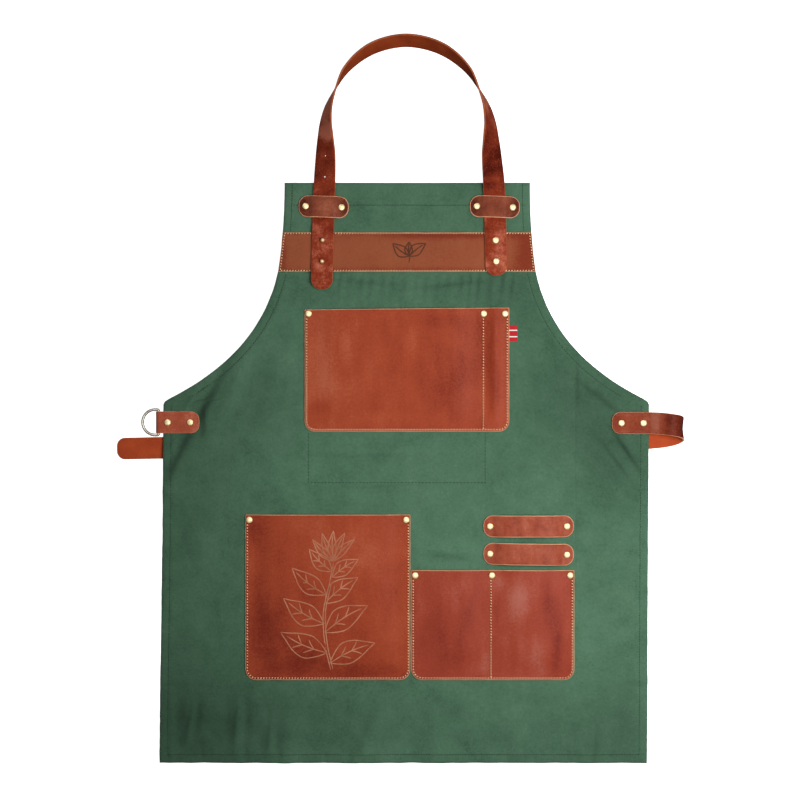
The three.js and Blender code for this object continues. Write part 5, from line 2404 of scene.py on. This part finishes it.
@dataclass
class RingTab:
    """The tab folded round the D ring's bar, and the ring itself."""

    y: float = 28.577
    end: float = -284.5
    bar_x: float = -340.5
    bar_z: float = 4.2
    back_leaf: float = 2.0
    straight: float = 2.5
    fold: float = 3.2
    wire: float = 2.0
    bow: float = 17.5
    arch: float = 5.2
    corner: float = 2.4
    side_shade_normal: float = 0.75

    def build_tab(self) -> None:
        """Fold the tab round the bar, a leaf on each side of the canvas."""
        front = STOCK.panel_base + STOCK.panel / 2
        arc = [math.radians(90 + 180 * k / 12) for k in range(13)]
        places = [
            (self.end, front), (self.bar_x + 5.5, front), (self.bar_x + self.straight, front + 0.4),
            *((self.bar_x + self.fold * math.cos(a), self.bar_z + self.fold * math.sin(a)) for a in arc),
            (self.bar_x + self.straight, self.back_leaf - 0.4), (self.bar_x + 5.5, self.back_leaf),
            (self.end, self.back_leaf),
        ]
        points = [Vector((x, self.y, z)) for x, z in places]
        run = Run(points, [Vector((0, 1, 0))] * len(points), STOCK.panel, 0, passes=1)
        Strip(
            "ring_tab_leather", run, TAB_HIDE, "strap_leather", ("ring_tab",),
            end_round=11.5, border=0.35, shift=(-200, 700), cell=2.4,
        ).build()

    def build_ring(self) -> bpy.types.Object:
        """Bend the ring from one wire: a bow, two arms and a bar with round corners.

        Returns:
            The ring.
        """
        bm = bmesh.new()
        start = Matrix.Translation((-self.arch, self.bow, 0)) @ Matrix.Rotation(math.pi / 2, 4, "Y")
        made = bmesh.ops.create_circle(bm, segments=16, radius=self.wire, matrix=start)
        edges = list({e for v in made["verts"] for e in v.link_edges})
        arm = self.arch - self.corner
        inner = self.bow - self.corner
        edges = self._turned(bm, edges, (-self.arch, 0, 0), 180, 36)
        edges = self._drawn(bm, edges, (arm, 0, 0))
        edges = self._turned(bm, edges, (-self.corner, -inner, 0), 90, 8)
        edges = self._drawn(bm, edges, (0, 2 * inner, 0))
        edges = self._turned(bm, edges, (-self.corner, inner, 0), 90, 8)
        self._drawn(bm, edges, (-arm, 0, 0))
        bmesh.ops.remove_doubles(bm, verts=bm.verts, dist=0.01)
        bmesh.ops.recalc_face_normals(bm, faces=bm.faces)
        droop = math.asin((self.bar_z - self.wire - 0.1) / (self.arch + self.bow))
        place = Matrix.Translation((self.bar_x, self.y, self.bar_z)) @ Matrix.Rotation(-droop, 4, "Y")
        bmesh.ops.transform(bm, matrix=place, verts=bm.verts)
        # Faces that tilt away from overhead take the darker nickel: painted shade on the wire's sides.
        for face in bm.faces:
            if abs(face.normal.z) < self.side_shade_normal:
                face.material_index = 1
        finishes = (NICKEL, NICKEL_SIDE)
        return deliver("d_ring_wire", bm, finishes, "ring_metal", ("d_ring",), RING_BODY, 180)

    @staticmethod
    def _turned(
        bm: BMesh, edges: list[BMEdge], centre: tuple[float, float, float], angle: float, steps: int
    ) -> list[BMEdge]:
        """Bend the wire's open end about a centre, and return its new end.

        Args:
            bm: The wire.
            edges: Its open end.
            centre: Middle of the bend.
            angle: Degrees of the bend.
            steps: Pieces of the bend.

        Returns:
            The new end.
        """
        made = bmesh.ops.spin(
            bm, geom=edges, cent=centre, axis=(0, 0, 1), angle=math.radians(angle), steps=steps
        )
        return [g for g in made["geom_last"] if isinstance(g, BMEdge)]

    @staticmethod
    def _drawn(bm: BMesh, edges: list[BMEdge], way: tuple[float, float, float]) -> list[BMEdge]:
        """Draw the wire's open end straight on, and return its new end.

        Args:
            bm: The wire.
            edges: Its open end.
            way: How far it is drawn.

        Returns:
            The new end.
        """
        made = bmesh.ops.extrude_edge_only(bm, edges=edges)
        bmesh.ops.translate(bm, vec=way, verts=[g for g in made["geom"] if isinstance(g, BMVert)])
        return [g for g in made["geom"] if isinstance(g, BMEdge)]


@dataclass
class Fasteners:
    """The set rivets and the two button studs."""

    steps: int = 24
    shank: float = 1.4
    back: float = 4.0
    plate: float = 0.7
    cap: float = 4.55
    dome: float = 1.7
    ball: float = 3.1
    neck: float = 1.5
    rim: float = 0.55
    eased: float = 0.25
    fullness: float = 0.8
    rim_normal: float = 0.78

    def _spun(self, bm: BMesh, profile: list[tuple[float, float]], middle: Vector) -> None:
        """Spin a profile of radius and height about an upright line.

        Args:
            bm: Mesh that the body is added to.
            profile: Radii with heights.
            middle: Place of the line.
        """
        verts = [bm.verts.new((middle.x + r, middle.y, z)) for r, z in profile]
        edges = [bm.edges.new(pair) for pair in zip(verts, verts[1:])]
        bmesh.ops.spin(
            bm, geom=[*verts, *edges], cent=middle, axis=(0, 0, 1), angle=2 * math.pi,
            steps=self.steps, use_merge=True,
        )

    def _rivet(self, room: Room) -> list[tuple[float, float]]:
        """A rivet's profile: plate, shank and a cap that is domed to a soft crown.

        Args:
            room: The CAD node's box.

        Returns:
            Radii with heights.
        """
        under = room.high - self.dome
        shoulder = under + self.rim
        crown = [
            (self.cap * math.cos(a) ** self.fullness, shoulder + (self.dome - self.rim) * math.sin(a))
            for a in map(math.radians, (0, 12, 26, 42, 58, 74))
        ]
        return [
            (0, room.low), (self.back, room.low), (self.back, room.low + self.plate),
            (self.shank, room.low + self.plate), (self.shank, under), (self.cap - self.eased, under),
            (self.cap, under + self.eased), *crown, (0, room.high),
        ]

    def _stud(self, room: Room) -> list[tuple[float, float]]:
        """A button stud's profile: plate, neck and ball.

        Args:
            room: The CAD node's box.

        Returns:
            Radii with heights.
        """
        middle = room.high - self.ball
        ball = [
            (self.ball * math.cos(a), middle + self.ball * math.sin(a))
            for a in map(math.radians, range(-60, 90, 15))
        ]
        return [
            (0, room.low), (self.back, room.low), (self.back, room.low + self.plate),
            (self.neck, room.low + self.plate), (self.neck, ball[0][1]), *ball, (0, room.high),
        ]

    def _build(
        self, name: str, nodes: list[str],
        profile: Callable[[Room], list[tuple[float, float]]],
    ) -> bpy.types.Object:
        """Spin all fasteners of one kind into one piece.

        Args:
            name: The piece's name.
            nodes: The CAD nodes that it stands for.
            profile: Makes the profile for a node's box.

        Returns:
            The piece.
        """
        bm = bmesh.new()
        for node in nodes:
            room = Room.of(node)
            self._spun(bm, profile(room), room.middle)
        bmesh.ops.remove_doubles(bm, verts=bm.verts, dist=0.005)
        bmesh.ops.recalc_face_normals(bm, faces=bm.faces)
        # Faces that tilt away from overhead take the darker brass: painted shade round each dome's rim and
        # stud.
        for face in bm.faces:
            if face.normal.z < self.rim_normal:
                face.material_index = 1
        return deliver(name, bm, (BRASS, BRASS_SHADED_RIM), "rivet_brass", nodes, sharp=40)

    def build(self) -> list[bpy.types.Object]:
        """Set the rivets and the studs, and return the two pieces.

        Returns:
            The rivets and the button studs.
        """
        nodes = sorted(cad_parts)
        rivets = [n for n in nodes if n.startswith("rivet_")]
        studs = [n for n in nodes if n.startswith("stud_")]
        return [
            self._build("rivets", rivets, self._rivet),
            self._build("button_studs", studs, self._stud),
        ]


@dataclass
class SideTag:
    """The small red ribbon folded into the chest pocket's right seam."""

    fold: float = 0.5

    def build(self) -> None:
        """Fold the ribbon and lay it beside the pocket."""
        room = Room.of("side_tag")
        low, high = room.low + 0.05, room.low + 0.9
        middle = (low + high) / 2
        places = [
            (room.left - 2.5, high), (room.right - 1, high), (room.right - 0.2, middle + 0.2),
            (room.right - 0.2, middle - 0.2), (room.right - 1, low), (room.left - 0.1, low),
        ]
        points = [Vector((x, 0, z)) for x, z in places]
        run = Run(points, [Vector((0, -1, 0))] * len(points), 0.35, 0, passes=1)
        tall = room.top - room.bottom
        blank = Blank([(0, 0), (run.length, 0), (run.length, tall), (0, tall)])
        blank.rule(1.0, 2.0).thicken(0.35)

        def laid(flat: Vector) -> Vector:
            """Where a point of the flat ribbon goes."""
            point = run.at(Vector((flat.x, 0, flat.z)))
            return point + Vector((0, room.bottom + flat.y, 0))

        piece = deliver("side_tag_ribbon", blank.lay(laid), (RIBBON,) * 3, "tag_ribbon", ("side_tag",))
        tall * MM


# Floor, light and camera


@dataclass
class Studio:
    """A pale floor, soft light from above and the camera straight over the apron."""

    distance: float = 2.6
    field: float = 23.97
    over: tuple[float, float] = (-0.0083, 0.0593)
    world: float = 0.16

    def build(self) -> None:
        """Set up the floor, the lights and the camera."""
        scene = bpy.context.scene
        scene.view_settings.view_transform = "Standard"
        world = bpy.data.worlds.new("studio")
        world.use_nodes = True
        backdrop = world.node_tree.nodes["Background"]
        backdrop.inputs["Color"].default_value = (1, 1, 1, 1)
        backdrop.inputs["Strength"].default_value = self.world
        scene.world = world
        bm = bmesh.new()
        bmesh.ops.create_grid(bm, x_segments=1, y_segments=1, size=6)
        bmesh.ops.translate(bm, vec=(0, 0, -0.0002), verts=bm.verts)
        mesh = bpy.data.meshes.new("floor")
        bm.to_mesh(mesh)
        bm.free()
        mesh.materials.append(Floor().material())
        floor = bpy.data.objects.new("floor", mesh)
        scene.collection.objects.link(floor)
        floor.visible_diffuse = False
        floor.visible_glossy = False
        key = self._light("key", (0.6, 0.02, 1.05), (0.25, 0.1, 0.0), 0.8, 15.5)
        key.visible_glossy = False
        self._light("gloss", (-1.0, 1.5, 1.7), (0.0, 0.15, 0.0), 0.9, 5)
        self._camera(scene)

    def shine_on(self, metal: Sequence[bpy.types.Object]) -> None:
        """Hang a wide soft light overhead that only the metal pieces mirror.

        Args:
            metal: The pieces that mirror it.
        """
        lamp = self._light("shine", (0.3, 0.1, 2.1), (0.0, 0.1, 0.0), 1.9, 18)
        lit = bpy.data.collections.new("metal")
        for piece in metal:
            lit.objects.link(piece)
        lamp.light_linking.receiver_collection = lit

    def _light(
        self, name: str, place: tuple[float, float, float], aim: tuple[float, float, float],
        size: float, power: float,
    ) -> bpy.types.Object:
        """Hang a soft square light at a place, aimed at another.

        Args:
            name: The light's name.
            place: Where it hangs.
            aim: What it points at.
            size: Length of its side.
            power: Its power in watts.

        Returns:
            The light.
        """
        light = bpy.data.lights.new(name, "AREA")
        light.size = size
        light.energy = power
        lamp = bpy.data.objects.new(name, light)
        lamp.location = place
        lamp.rotation_euler = (Vector(aim) - Vector(place)).to_track_quat("-Z", "Y").to_euler()
        bpy.context.scene.collection.objects.link(lamp)
        return lamp

    def _camera(self, scene: bpy.types.Scene) -> None:
        """Hang the camera over the apron, its top towards the neck.

        Args:
            scene: The scene that it belongs to.
        """
        camera = bpy.data.cameras.new("camera")
        camera.sensor_width = 36
        camera.lens = 18 / math.tan(math.radians(self.field / 2))
        camera.clip_end = 20
        holder = bpy.data.objects.new("camera", camera)
        holder.location = (*self.over, self.distance)
        scene.collection.objects.link(holder)
        scene.camera = holder


def main() -> None:
    """Build the apron piece by piece, then the studio."""
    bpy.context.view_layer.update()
    studio = Studio()
    studio.build()
    canvas = CanvasBody()
    NeckStrap().build()
    WaistStrap().build()
    tab = RingTab()
    tab.build_tab()
    ring = tab.build_ring()
    canvas.build()
    canvas.sew()
    band = ChestBand(canvas)
    band.build()
    band.sew()
    pockets = [
        Pocket(PocketLook("chest_pocket", CHEST_HIDE, (0.8735,), tilt=1.4, corner=14)),
        Pocket(PocketLook("large_pocket", LARGE_HIDE, corner=15)),
        Pocket(PocketLook("tool_pocket", TOOL_HIDE, (0.489,), corner=15)),
    ]
    for pocket in pockets:
        pocket.build()
        pocket.sew()
    art = Artwork(pockets[1], band)
    art.sprig()
    art.mark()
    bands = CrossBands()
    bands.tool_loop("tool_loop_upper", 0, LOOP_HIDE)
    bands.tool_loop("tool_loop_lower", -0.75, LOOP_HIDE)
    bands.keeper("neck_keeper_left", -2)
    bands.keeper("neck_keeper_right", -2)
    studio.shine_on([ring, *Fasteners().build()])
    SideTag().build()


if __name__ == "__main__":
    main()
